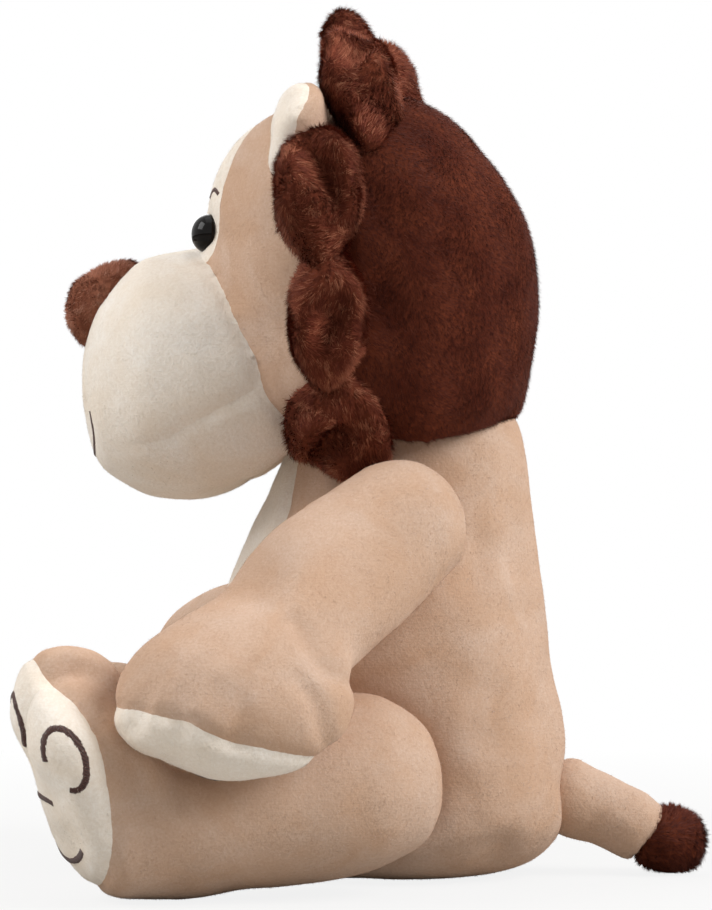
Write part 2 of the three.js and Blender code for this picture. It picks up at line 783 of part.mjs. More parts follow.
// A point part of the way from the thigh to the sole, at some height.
const legPoint = (share, height) => thigh.clone().lerp(sole, share).setZ(height - floorFlat);
const legForm = {
  stations: [
    {
      at: thigh.clone().addScaledVector(legRun, -thighRear),
      across: 0.85 * thighHalfWidth,
      up: 0.9 * hipHeight,
    },
    { at: thigh, across: thighHalfWidth, up: hipHeight },
    { at: legPoint(0.35, 1.15 * ankleHalf), across: 1.12 * ankleHalf, up: 1.15 * ankleHalf, lean: 4 },
    { at: legPoint(0.62, ankleHalf), across: ankleHalf, up: ankleHalf, lean: 10 },
    {
      at: legPoint(0.84, 0.9 * footHalfHeight),
      across: 0.96 * footHalfWidth,
      up: 0.94 * footHalfHeight,
      lean: soleLean,
    },
    { at: sole, across: footHalfWidth, up: footHalfHeight, lean: soleLean },
  ],
  sideways: at(-legRun.y, legRun.x, 0),
  sides: 14,
  rows: 6,
  first: { round: thighRound, flat: 0.3 },
  last: { round: soleRound, flat: 0.72 },
};

function legBody(inset) {
  return stuffedForm(legForm, inset).intersect(leftOf(hipReach + seam + inset)).intersect(above(inset));
}

// The seam behind the sole leans with it.
function soleCut(growth) {
  const lean = radians(soleLean);
  const facing = legRun.clone().multiplyScalar(Math.cos(lean)).addScaledVector(axisZ, -Math.sin(lean));
  return beyond(facing, sole.dot(facing) - soleDepth - growth);
}

const legLeft = bodyAt(torso, hip);
const legRight = bodyAt(torso, at(-hip.x, hip.y, hip.z));
const legSkin = legBody(0).subtract(legBody(skin));
pair(legLeft, legRight, (side) => `leg_${side}_cover`, legSkin.subtract(soleCut(seam)), beige);
pair(legLeft, legRight, (side) => `leg_${side}_sole`, legSkin.intersect(soleCut(0)), cream);
pair(legLeft, legRight, (side) => `leg_${side}_stuffing`, legBody(skin + fillGap), fibre);

// Tail: a short cover that turns in the back seam, with a tuft at its tip

const tailEnd = at(0, tailTip, tailTipHeight);
const tailForm = {
  stations: [
    { at: tailRoot.clone(), across: 0.86 * tailRadius, up: 0.86 * tailRadius },
    {
      at: tailRoot.clone().lerp(tailEnd, 0.5).setZ(tailHeight - tailSag),
      across: 0.9 * tailRadius,
      up: 0.9 * tailRadius,
    },
    { at: tailEnd, across: 0.76 * tailRadius, up: 0.76 * tailRadius },
  ],
  sideways: axisX,
  sides: 14,
  rows: 3,
  first: { round: 0, flat: 1 },
  last: { round: tailTipRound, flat: 0.6 },
};
const tuftForm = {
  stations: [
    { at: at(0, tuftTip - 2 * tuftRadius, tuftRadius), across: tuftRadius, up: tuftRadius },
    { at: at(0, tuftTip, tuftRadius - floorFlat), across: tuftRadius, up: tuftRadius },
  ],
  sideways: axisX,
  sides: 14,
  rows: 1,
  first: { round: tuftRound, flat: 0.4 },
  last: { round: tuftRound, flat: 0.3 },
};

const tailInside = (inset) => stuffedForm(tailForm, inset).intersect(above(inset));

const tail = bodyAt(torso, tailRoot);
const tuft = stuffedForm(tuftForm).intersect(above(0));
const tuftRoom = stuffedForm(tuftForm, -seam);
piece(tail, "tail_tuft", tuft, brown);
const tailBall = ball(tailRoot, tailRadius, smallBallSides);
const tailWhole = stuffedForm(tailForm).add(tailBall).intersect(above(0));
piece(tail, "tail_cover", tailWhole.subtract(tailInside(skin)).subtract(tuftRoom), beige);
piece(tail, "tail_stuffing", tailInside(skin + fillGap).subtract(tuftRoom), fibre);

export default lion;
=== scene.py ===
import math
import bmesh
import bpy
import numpy as np
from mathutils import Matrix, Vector, kdtree, noise
from mathutils.bvhtree import BVHTree


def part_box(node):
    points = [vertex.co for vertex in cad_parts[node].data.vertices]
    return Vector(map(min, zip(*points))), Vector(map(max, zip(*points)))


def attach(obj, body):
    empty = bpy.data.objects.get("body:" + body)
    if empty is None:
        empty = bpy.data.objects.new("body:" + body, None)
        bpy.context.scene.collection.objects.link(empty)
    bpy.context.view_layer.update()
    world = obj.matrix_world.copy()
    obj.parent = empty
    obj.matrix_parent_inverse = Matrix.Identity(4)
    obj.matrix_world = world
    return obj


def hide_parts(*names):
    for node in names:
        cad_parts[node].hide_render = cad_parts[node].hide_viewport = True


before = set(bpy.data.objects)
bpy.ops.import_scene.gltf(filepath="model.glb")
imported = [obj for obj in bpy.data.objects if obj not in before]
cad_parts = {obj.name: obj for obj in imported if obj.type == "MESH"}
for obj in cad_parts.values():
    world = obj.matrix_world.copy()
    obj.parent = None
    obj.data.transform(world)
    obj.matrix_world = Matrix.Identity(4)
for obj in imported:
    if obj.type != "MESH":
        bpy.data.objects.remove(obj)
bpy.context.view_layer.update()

# A seated plush lion: short-pile cloth panels sewn over stuffing, with a longer brown pile on the mane
mm = 0.001
scene = bpy.context.scene
scene.view_settings.view_transform = "Standard"

camera = {
    "place": (1100, -15.7, 120),  # mm, straight out from the lion's left side
    "aim": (0, -15.7, 133.4),
    "lens": 136,
    "sensor": 36,  # along the long side of the picture
}
studio = {
    "floorHalf": 6.0,
    "floorDrop": 0.0004,  # metres below the seat
    "floorColour": "#BDBBB7",
    "floorGlow": 0.86,  # share of its white that shows whatever the light, near the lion
    "floorFade": (0.2, 0.55),  # metres from the lion over which the floor turns plain white
    "worldLight": 0.26,
    "lamps": [
        # place, aim, size and power
        ((0.5, 1.2, 1.0), (0, 0, 0.13), 0.9, 23),
        ((0.4, -1.2, 1.1), (0, 0, 0.13), 0.9, 16),
        ((0.1, 0, 1.7), (0, 0, 0.13), 1.2, 4),
        ((-1.3, 0, 0.8), (0, 0, 0.13), 1.2, 9),
    ],
}


def linear(code):
    parts = [int(code[i:i + 2], 16) / 255 for i in (1, 3, 5)]
    return [c / 12.92 if c <= 0.04045 else ((c + 0.055) / 1.055) ** 2.4 for c in parts] + [1.0]


# Adds a shader node; settings with a capital or a number are sockets, the others the node's own properties
def addNode(tree, kind, settings=None, links=None):
    node = tree.nodes.new("ShaderNode" + kind)
    for key, value in (settings or {}).items():
        if isinstance(key, int) or key[0].isupper():
            node.inputs[key].default_value = value
        else:
            setattr(node, key, value)
    for key, source in (links or {}).items():
        tree.links.new(source, node.inputs[key])
    return node


def newMaterial(name):
    material = bpy.data.materials.new(name)
    material.use_nodes = True
    return material, material.node_tree


def setSurface(tree, surface):
    for key, value in surface.items():
        tree.nodes["Principled BSDF"].inputs[key].default_value = value


def newObject(name, mesh):
    obj = bpy.data.objects.new(name, mesh)
    scene.collection.objects.link(obj)
    return obj


def aimAt(obj, target):
    obj.rotation_euler = (Vector(target) - obj.location).to_track_quat("-Z", "Y").to_euler()


def deselect():
    if bpy.context.object and bpy.context.object.mode != "OBJECT":
        bpy.ops.object.mode_set(mode="OBJECT")
    bpy.ops.object.select_all(action="DESELECT")


def pick(obj):
    deselect()
    obj.select_set(True)
    bpy.context.view_layer.objects.active = obj


def applyModifier(obj, kind, **settings):
    pick(obj)
    modifier = obj.modifiers.new(kind.title(), kind)
    for key, value in settings.items():
        setattr(modifier, key, value)
    bpy.ops.object.modifier_apply(modifier=modifier.name)


# Camera, lamps and floor
bpy.ops.object.camera_add(location=[c * mm for c in camera["place"]])
eye = bpy.context.object
eye.name = "camera"
aimAt(eye, [c * mm for c in camera["aim"]])
eye.data.lens = camera["lens"]
eye.data.sensor_fit = "AUTO"
eye.data.sensor_width = camera["sensor"]
scene.camera = eye

for spot, target, size, power in studio["lamps"]:
    bpy.ops.object.light_add(type="AREA", location=spot)
    lamp = bpy.context.object
    lamp.data.size = size
    lamp.data.energy = power
    aimAt(lamp, target)

world = scene.world or bpy.data.worlds.new("studio")
scene.world = world
world.use_nodes = True
tree = world.node_tree
tree.nodes.clear()
path = addNode(tree, "LightPath")
seen = path.outputs["Is Camera Ray"]
for ray in ("Is Glossy Ray", "Is Transmission Ray"):
    seen = addNode(tree, "Math", {"operation": "MAXIMUM"}, {0: seen, 1: path.outputs[ray]}).outputs[0]
soft = addNode(tree, "Background", {"Color": linear("#FFFFFF"), "Strength": studio["worldLight"]})
white = addNode(tree, "Background", {"Color": linear("#FFFFFF"), "Strength": 1.0})
mixed = addNode(tree, "MixShader", None, {0: seen, 1: soft.outputs[0], 2: white.outputs[0]})
addNode(tree, "OutputWorld", None, {"Surface": mixed.outputs[0]})

deselect()
bpy.ops.mesh.primitive_plane_add(size=2 * studio["floorHalf"], location=(0, 0, -studio["floorDrop"]))
floor = bpy.context.object
floor.name = "floor"
paper, tree = newMaterial("matt_white_paper")  # a studio sweep: flat, no gloss, takes a soft shadow
tree.nodes.clear()
path = addNode(tree, "LightPath")
plain = addNode(tree, "BsdfDiffuse", {"Color": linear(studio["floorColour"])})
glow = addNode(tree, "Emission", {"Color": linear("#FFFFFF"), "Strength": 1.0})
spread = addNode(tree, "VectorMath", {"operation": "LENGTH"},
                 {0: addNode(tree, "TexCoord").outputs["Object"]})
near, far = studio["floorFade"]
fade = addNode(tree, "MapRange", {"From Min": near, "From Max": far, "To Min": studio["floorGlow"]},
               {"Value": spread.outputs["Value"]})
share = addNode(tree, "Math", {"operation": "MULTIPLY"},
                {0: fade.outputs[0], 1: path.outputs["Is Camera Ray"]})
mixed = addNode(tree, "MixShader", None,
                {0: share.outputs[0], 1: plain.outputs[0], 2: glow.outputs[0]})
addNode(tree, "OutputMaterial", None, {"Surface": mixed.outputs[0]})
floor.data.materials.append(paper)
print("studio ready")

# Short-pile polyester plush, knitted at the back and cut at the front: matt, with a pale nap along its
# edges, brushed patches where the pile lies another way, and faint rows of the knit showing through.
# Name, base, the dark shade painted into the hollows of the grain, the pale shade, depth of the rows, grain
# and patches in metres, and sheen of each
plushLooks = {
    "beige": ("short_pile_polyester_plush_beige", "#CAA88E", "#B58D72", "#D2B7A3", 0.07, 0.0009, 0.021, 0.25),
    "cream": ("short_pile_polyester_plush_cream", "#F3E6D6", "#DDCBB5", "#FAF3EA", 0.07, 0.0010, 0.026, 0.22),
    "brown": ("cut_pile_polyester_plush_brown", "#522214", "#34120A", "#703723", 0.1, 0.0013, 0.016, 0.15),
    "nose": ("cut_pile_polyester_plush_nose_brown", "#77432F", "#552A1D", "#96604A", 0.1, 0.0011, 0.012,
             0.18),
}
waveBand = 0.314  # metres from band to band of the wave texture at scale 1
knitRow = 0.8 * mm  # distance between the rows of the knit


def plushMaterial(name, base, hollowShade, pale, rowDepth, grainSize, patchSize, sheen):
    material, tree = newMaterial(name)
    tree.nodes.clear()
    place = {"Vector": addNode(tree, "TexCoord").outputs["Object"]}
    patches = addNode(tree, "TexNoise",
                      {"Scale": 1 / patchSize, "Detail": 3.0, "Roughness": 0.55, "Distortion": 0.6}, place)
    grain = addNode(tree, "TexNoise", {"Scale": 1 / grainSize, "Detail": 2.0, "Roughness": 0.7}, place)
    tufts = addNode(tree, "TexNoise", {"Scale": 1 / (4 * grainSize), "Detail": 2.0}, place)
    rows = addNode(tree, "TexWave",
                   {"wave_type": "BANDS", "bands_direction": "Z", "Scale": waveBand / knitRow,
                    "Distortion": 2.2, "Detail": 2.0, "Detail Scale": 0.6}, place)
    lay = addNode(tree, "MapRange", {"From Min": 0.34, "From Max": 0.66},
                  {"Value": patches.outputs[0]})
    # Painted shade: where the grain's relief is low, the dark colour is mixed in to stand for the shade
    # between the tufts
    depth = addNode(tree, "MapRange", {"From Min": 0.3, "From Max": 0.7}, {"Value": grain.outputs[0]})
    brushed = addNode(tree, "Mix", {"data_type": "RGBA", 6: linear(base), 7: linear(pale)},
                      {0: lay.outputs[0]})
    shaded = addNode(tree, "Mix", {"data_type": "RGBA", 6: linear(hollowShade)},
                     {0: depth.outputs[0], 7: brushed.outputs[2]})
    softened = addNode(tree, "Mix", {"data_type": "RGBA", 0: 0.62},
                       {6: shaded.outputs[2], 7: brushed.outputs[2]})
    rowHeight = addNode(tree, "Math", {"operation": "MULTIPLY", 1: rowDepth}, {0: rows.outputs["Fac"]})
    height = addNode(tree, "Math", {"operation": "ADD"}, {0: grain.outputs[0], 1: rowHeight.outputs[0]})
    height = addNode(tree, "Math", {"operation": "ADD"}, {0: height.outputs[0], 1: tufts.outputs[0]})
    bump = addNode(tree, "Bump", {"Strength": 0.2, "Distance": 0.0008}, {"Height": height.outputs[0]})
    shader = addNode(tree, "BsdfPrincipled",
                     {"Roughness": 0.95, "Specular IOR Level": 0.12, "Sheen Weight": sheen,
                      "Sheen Roughness": 0.45, "Sheen Tint": linear(pale)},
                     {"Base Color": softened.outputs[2], "Normal": bump.outputs[0]})
    addNode(tree, "OutputMaterial", None, {"Surface": shader.outputs[0]})
    return material


plush = {colour: plushMaterial(*look) for colour, look in plushLooks.items()}

# Single strands of the pile: one plain shade each, from the roots' dark to the tips' pale
strandShades = {
    "beige": ("#C9A48A", "#D2B099", "#DDC5B5"),
    "cream": ("#F0E3D2", "#F6ECDF", "#FCF7EF"),
    "brown": ("#3C130A", "#471A0F", "#522215", "#633122"),
    "mane": ("#582214", "#6B2F1E", "#83442F", "#A4674D"),
    "nose": ("#874D39", "#995D47", "#AA7059", "#BD8770"),
}
strandSheen = {"beige": 0.15, "cream": 0.15, "brown": 0.45, "mane": 0.35, "nose": 0.3}


def strandMaterial(colour, number, shade):
    material, tree = newMaterial("polyester_strand_" + colour + "_" + str(number))
    setSurface(tree, {"Base Color": linear(shade), "Roughness": 0.7, "Specular IOR Level": 0.15,
                      "Sheen Weight": strandSheen[colour], "Sheen Roughness": 0.4,
                      "Sheen Tint": linear(strandShades[colour][-1])})
    return material


strands = {colour: [strandMaterial(colour, number, shade) for number, shade in enumerate(shades)]
           for colour, shades in strandShades.items()}


# A material of two tones mixed by one pattern in its real size, which may also stand out as a fine relief
def twoTone(name, kind, pattern, output, tones, surface, relief=None):
    material, tree = newMaterial(name)
    place = addNode(tree, "TexCoord").outputs["Object"]
    shape = addNode(tree, kind, pattern, {"Vector": place}).outputs[output]
    low, high = tones
    tone = addNode(tree, "Mix", {"data_type": "RGBA", 6: linear(low), 7: linear(high)}, {0: shape})
    setSurface(tree, surface)
    shader = tree.nodes["Principled BSDF"]
    tree.links.new(tone.outputs[2], shader.inputs["Base Color"])
    if relief:
        bump = addNode(tree, "Bump", relief, {"Height": shape})
        tree.links.new(bump.outputs[0], shader.inputs["Normal"])
    return material


# Glossy moulded acrylic for the eyes: near black, a clear hard surface with very faint mould waviness
acrylic = twoTone("moulded_black_acrylic", "TexNoise", {"Scale": 1 / (4 * mm), "Detail": 1.0}, 0,
                  ("#080605", "#140E0B"), {"Roughness": 0.09, "Specular IOR Level": 0.16},
                  {"Strength": 0.05, "Distance": 0.0002})

# Milky polyethylene for the washers behind the eyes: soft plastic with a faint turned grain
polythene = twoTone("moulded_milky_polyethylene", "TexNoise", {"Scale": 1 / (3 * mm), "Detail": 2.0}, 0,
                    ("#CFCFCA", "#E2E2DE"), {"Roughness": 0.4})

# Rayon embroidery thread: dark brown satin stitch, ridged every 0.45 mm across the line, with a soft lustre;
# its paler tone on the ridges and darker tone in the grooves are painted highlight and shade
threadRidge = 0.45 * mm
rayon = twoTone("rayon_embroidery_thread_brown", "TexWave",
                {"wave_type": "BANDS", "bands_direction": "DIAGONAL", "Scale": waveBand / threadRidge,
                 "Distortion": 1.0}, "Fac",
                ("#33160F", "#5A3023"), {"Roughness": 0.5, "Sheen Weight": 0.2},
                {"Strength": 0.5, "Distance": 0.0003})
print("materials ready")


# Vertices of a mesh as rows of x, y, z, and back again
def pointsOf(obj):
    rows = np.empty(len(obj.data.vertices) * 3)
    obj.data.vertices.foreach_get("co", rows)
    return rows.reshape(-1, 3)


def setPoints(obj, rows):
    obj.data.vertices.foreach_set("co", rows.ravel())
    obj.data.update()


def normalsOf(obj):
    rows = np.empty(len(obj.data.vertices) * 3)
    obj.data.vertex_normals.foreach_get("vector", rows)
    return rows.reshape(-1, 3)


def shadeSmooth(obj):
    for face in obj.data.polygons:
        face.use_smooth = True


# Rises from 0 to 1 over a length after a start
def ramp(values, start, length):
    return np.clip((values - start) / length, 0, 1)


# Drops every part of a mesh but the one that reaches farthest
def keepOutside(obj):
    shape = bmesh.new()
    shape.from_mesh(obj.data)
    waiting = set(shape.verts)
    groups = []
    while waiting:
        group = [waiting.pop()]
        for vert in group:
            beside = {edge.other_vert(vert) for edge in vert.link_edges} & waiting
            waiting -= beside
            group += beside
        groups.append(group)
    groups.sort(key=lambda group: max(v.co.x for v in group) - min(v.co.x for v in group))
    for group in groups[:-1]:
        bmesh.ops.delete(shape, geom=group, context="VERTS")
    shape.to_mesh(obj.data)
    shape.free()


# One closed skin round some CAD nodes: their copies joined, remeshed over the gaps, smoothed and swollen
# by a look's voxel size in mm, rounds of smoothing and swelling in mm
def skinOver(name, look):
    shape = bmesh.new()
    for node in look["nodes"]:
        shape.from_mesh(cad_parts[node].data)
    bmesh.ops.remove_doubles(shape, verts=shape.verts, dist=1e-6)
    mesh = bpy.data.meshes.new(name)
    shape.to_mesh(mesh)
    shape.free()
    obj = newObject(name, mesh)
    applyModifier(obj, "REMESH", mode="VOXEL", voxel_size=look["voxel"] * mm)
    keepOutside(obj)
    applyModifier(obj, "SMOOTH", factor=0.5, iterations=look["rounds"])
    setPoints(obj, pointsOf(obj) + normalsOf(obj) * look["swell"] * mm)
    return obj


# Moves the points near a place, fading out over a reach, all in mm
def pull(obj, moves):
    rows = pointsOf(obj)
    for spot, reach, move in moves:
        far = np.linalg.norm(rows - np.array(spot) * mm, axis=1) / (reach * mm)
        share = np.clip(1 - far ** 2, 0, 1) ** 2
        rows += share[:, None] * np.array(move) * mm
    setPoints(obj, rows)


# Keeps a skin off the floor
def setDown(obj):
    rows = pointsOf(obj)
    rows[:, 2] = np.maximum(rows[:, 2], 0)
    setPoints(obj, rows)


sewing = {
    "hold": (0.8, 5),  # how firmly a seam holds the cloth while it is puffed, and how many mm to its sides
    "reach": 3,  # widths of a seam to where it no longer draws the cloth in
    "pucker": (0.5, 3.5),  # how unevenly it does so, and over how many mm
    "softer": (3, 0.35),  # rounds of smoothing beside it, and their strength
}


def seamHold(far):
    firm, reach = sewing["hold"]
    return firm * np.exp(-((far / reach) ** 2))


# How stuffing presses cloth out: its force, the spare size of the cloth, steps and last rounds of smoothing
stuffing = {"pressure": 4, "spare": 0.02, "steps": 14, "calm": 8}


# Lets stuffing press the cloth out between the held points, no farther than the cap in mm
def press(obj, held, cap):
    before = pointsOf(obj)
    group = obj.vertex_groups.new(name="held")
    for number, weight in enumerate(held):
        if weight > 0.01:
            group.add([number], float(weight), "REPLACE")
    pick(obj)
    cloth = obj.modifiers.new("Cloth", "CLOTH")
    cloth.settings.use_pressure = True
    cloth.settings.uniform_pressure_force = stuffing["pressure"]
    cloth.settings.shrink_min = -stuffing["spare"]
    cloth.settings.effector_weights.gravity = 0
    cloth.settings.vertex_group_mass = "held"
    cloth.settings.quality = 4
    cloth.point_cache.frame_start = 1
    cloth.point_cache.frame_end = stuffing["steps"]
    for step in range(1, stuffing["steps"] + 1):
        scene.frame_set(step)
    bpy.ops.object.modifier_apply(modifier=cloth.name)
    scene.frame_set(1)
    moved = pointsOf(obj) - before
    far = np.linalg.norm(moved, axis=1)
    shorten = np.minimum(1, cap * mm / np.maximum(far, 1e-9)) * (1 - np.asarray(held))
    setPoints(obj, before + moved * shorten[:, None])
    obj.vertex_groups.clear()
    applyModifier(obj, "SMOOTH", factor=0.5, iterations=stuffing["calm"])
    print(obj.name, "puffed by", round(float(np.median(far)) / mm, 2), "mm")


def puff(obj, held, cap):
    press(obj, held, cap)
    applyModifier(obj, "SUBSURF", levels=1, render_levels=1)


# Signed distance in mm from a smooth line through points in a plane, negative on the right of its direction
def besideLine(rows, line):
    line = np.asarray(line, float)
    knots = np.vstack([2 * line[0] - line[1], line, 2 * line[-1] - line[-2]])
    t = np.linspace(0, 1, 6, endpoint=False)[:, None]
    curve = [b + ((c - a) * t + (2 * a - 5 * b + 4 * c - d) * t ** 2 + (3 * b - 3 * c + d - a) * t ** 3) / 2
             for a, b, c, d in zip(knots, knots[1:], knots[2:], knots[3:])]
    line = np.vstack(curve + [line[-1:]])
    best = np.full(len(rows), 1e9)
    side = np.zeros(len(rows))
    for start, stop in zip(line[:-1], line[1:]):
        along = stop - start
        share = np.clip(((rows - start) @ along) / (along @ along), 0, 1)
        away = rows - (start + share[:, None] * along)
        far = np.hypot(away[:, 0], away[:, 1])
        turn = along[0] * away[:, 1] - along[1] * away[:, 0]
        nearer = far < best
        best = np.where(nearer, far, best)
        side = np.where(nearer, np.sign(turn), side)
    return best * side


# Cuts edges into a mesh where a field of its points changes sign
def cutSeam(shape, field):
    shape.verts.ensure_lookup_table()
    rows = np.array([v.co for v in shape.verts]) / mm
    values = dict(zip(shape.verts, field(rows)))
    fresh = set()
    for edge in [e for e in shape.edges if values[e.verts[0]] * values[e.verts[1]] < 0]:
        a, b = edge.verts
        if values[a] * values[b] >= 0:
            continue
        share = values[a] / (values[a] - values[b])
        if 0.2 < share < 0.8:
            vert = bmesh.utils.edge_split(edge, a, share)[1]
        else:
            vert, other = (a, b) if share <= 0.2 else (b, a)
            near = share if vert is a else 1 - share
            vert.co = vert.co.lerp(other.co, near)
        values[vert] = 0
        fresh.add(vert)
    bmesh.ops.connect_verts(shape, verts=list(fresh))


# Splits a stuffed skin into panels along its seams, draws the seams in, and returns panel objects by name
# Each seam is a field of points in mm, and shareAt says how much of the look's depth shows at points in mm
def sewPanels(obj, seams, panelAt, look, shareAt=None):
    depth = look["seamDepth"] * mm
    width = look["seamWidth"] * mm
    shape = bmesh.new()
    shape.from_mesh(obj.data)
    for field in seams:
        cutSeam(shape, field)
    shape.faces.ensure_lookup_table()
    shape.normal_update()
    centres = np.array([f.calc_center_median() for f in shape.faces]) / mm
    names = panelAt(centres)
    owner = dict(zip(shape.faces, names))
    for face in [f for _ in range(2) for f in shape.faces]:
        around = [owner[other] for edge in face.edges for other in edge.link_faces if other is not face]
        common = max(set(around), key=around.count)
        if common != owner[face] and around.count(common) * 2 > len(around):
            owner[face] = common
    names = np.array([owner[face] for face in shape.faces])
    sewn = [v for v in shape.verts if len({owner[f] for f in v.link_faces}) > 1]
    tree = kdtree.KDTree(max(len(sewn), 1))
    for number, vert in enumerate(sewn):
        tree.insert(vert.co, number)
    tree.balance()
    places = np.array([v.co for v in shape.verts]) / mm
    shares = shareAt(places) if shareAt else np.ones(len(places))
    uneven, size = sewing["pucker"]
    moves = []
    for vert, share in zip(shape.verts, shares):
        far = tree.find(vert.co)[2] if sewn else None
        if far is None or far > sewing["reach"] * width:
            continue
        pucker = share * (1 + uneven * noise.noise(vert.co / (size * mm)))
        moves.append((vert, vert.normal * (-depth * pucker * math.exp(-((far / width) ** 2)))))
    for vert, move in moves:
        vert.co += move
    rounds, strength = sewing["softer"]
    for _ in range(rounds):
        bmesh.ops.smooth_vert(shape, verts=[vert for vert, move in moves], factor=strength,
                              use_axis_x=True, use_axis_y=True, use_axis_z=True)
    panels = {}
    for name in sorted(set(names)):
        part = shape.copy()
        part.faces.ensure_lookup_table()
        spare = [f for f, own in zip(part.faces, names) if own != name]
        bmesh.ops.delete(part, geom=spare, context="FACES")
        mesh = bpy.data.meshes.new(name)
        part.to_mesh(mesh)
        part.free()
        panels[name] = newObject(name, mesh)
        shadeSmooth(panels[name])
    shape.free()
    bpy.data.objects.remove(obj)
    return panels


# Names the panels inside and outside one seam
def twoPanels(field, inside, outside):
    return lambda rows: np.where(field(rows) < 0, inside, outside)


# The same mesh on the lion's other side, as a new object
def otherSide(obj, name):
    twin = newObject(name, obj.data.copy())
    rows = pointsOf(twin)
    rows[:, 0] *= -1
    setPoints(twin, rows)
    twin.data.flip_normals()
    return twin


# Says what a finished piece is made of, what carries it and which solids it stands for
def finish(obj, material, body, nodes=()):
    obj.data.materials.clear()
    obj.data.materials.append(material)
    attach(obj, body)
    if nodes:
        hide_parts(*nodes)
    return obj


pieces = {}


# Finishes the panels of one body, each with its colour and the nodes that it stands for
def finishPanels(panels, body, parts):
    for name, colour, nodes in parts:
        finish(panels[name], plush[colour], body, nodes)
    pieces.update(panels)


# Finishes the left panels of a pair of limbs and their copies on the right, which may be pulled a little
# Each part has its colour and the nodes that it stands for
def finishPair(limb, panels, parts, moves=()):
    for side in ("left", "right"):
        body = limb + "_" + side
        for part, colour, nodes in parts:
            name = limb + side.title() + part
            if side == "right":
                panels[name] = otherSide(panels[limb + "Left" + part], name)
                pull(panels[name], moves)
            replaced = [body + "_" + node for node in nodes]
            finish(panels[name], plush[colour], body, replaced)
    pieces.update(panels)


shoulderOut = np.array([0.9703, 0, 0.2419])  # the left shoulder faces outwards and 14 degrees up
torso = {
    "nodes": ["torso_panel_left", "torso_panel_right", "belly_panel", "torso_stuffing"],
    "voxel": 3.2,
    "rounds": 16,
    "swell": 0.8,
    "bellyHalf": (30, 83),  # the cream oval seen from the front
    "bellyMiddle": 63,
    "bellyBack": -10,
    "tongue": (22, 43, -17),  # half width, half length and middle of the oval under the seat
    "tongueTop": 7,  # which ends at this height
    "pulls": [
        # place, reach and move
        ((0, -48, 96), 44, (0, 1, 0)), ((0, 56, 44), 30, (0, 2, 0)),
    ],
    "rimRise": 9,  # how far the edge of the seat rounds up off the floor
    "rimHeight": 30,  # below this height
    "seat": (46, 57, -4),  # half width, half depth and middle
    "seatFlat": (0.35, 0.6),  # share of the way out where the rounding begins, and its length
    "neckRise": (118, 138, 9),  # from this height to that one, the top is drawn up into the head
    "still": (3, 134),  # below and above these heights, the cloth isn't puffed
    "hip": (36, 14, 66),  # nor beyond this x, in front of this y and below this height, beside the legs
    "armAt": 61,  # nor beyond this far along the shoulder, beside the arms
    "seamDepth": 1.5,
    "seamWidth": 2.6,
}


def bellyField(rows):
    x, y, z = rows.T
    wide, tall = torso["bellyHalf"]
    front = (np.hypot(x / wide, (z - torso["bellyMiddle"]) / tall) - 1) * wide
    front = np.maximum(front, y - torso["bellyBack"])
    wide, long, middle = torso["tongue"]
    under = (np.hypot(x / wide, (y - middle) / long) - 1) * wide
    under = np.maximum(under, z - torso["tongueTop"])
    return np.minimum(front, under)


def middleField(rows):
    return rows[:, 0]


def torsoPanelAt(rows):
    side = np.where(rows[:, 0] > 0, "torsoPanelLeft", "torsoPanelRight")
    return np.where(bellyField(rows) < 0, "bellyPanel", side)


skin = skinOver("torsoSkin", torso)
pull(skin, torso["pulls"])
rows = pointsOf(skin) / mm
low, high, rise = torso["neckRise"]
share = ramp(rows[:, 2], low, high - low)
rows[:, 2] += rise * share ** 2 * (3 - 2 * share)
wide, long, middle = torso["seat"]
fromMiddle = ramp(np.hypot(rows[:, 0] / wide, (rows[:, 1] - middle) / long), *torso["seatFlat"])
rows[:, 2] += torso["rimRise"] * fromMiddle ** 2 * np.clip(1 - rows[:, 2] / torso["rimHeight"], 0, 1)
setPoints(skin, rows * mm)
x, y, z = rows.T
backSeam = np.where(y > 0, np.abs(x), 99)
low, high = torso["still"]
hipSide, hipFront, hipTop = torso["hip"]
besideHip = (np.abs(x) > hipSide) & (z < hipTop) & (y < hipFront)
besideArm = (np.abs(rows) @ shoulderOut > torso["armAt"]) & (z > hipTop)
still = (z < low) | (z > high) | besideHip | besideArm
held = np.maximum(seamHold(np.minimum(np.abs(bellyField(rows)), backSeam)), still)
puff(skin, held, 2.5)
setDown(skin)
panels = sewPanels(skin, [bellyField, middleField], torsoPanelAt, torso)
for panel in panels.values():
    setDown(panel)
finishPanels(panels, "torso", [
    ("torsoPanelLeft", "beige", ["torso_panel_left", "torso_stuffing"]),
    ("torsoPanelRight", "beige", ["torso_panel_right"]),
    ("bellyPanel", "cream", ["belly_panel"]),
])
print("torso sewn")

neck = {"nodes": ["neck_stuffing"], "voxel": 3, "rounds": 4, "swell": 0.0}
neckDome = skinOver("neckDome", neck)
shadeSmooth(neckDome)
finish(neckDome, plush["beige"], "neck", ["neck_stuffing"])

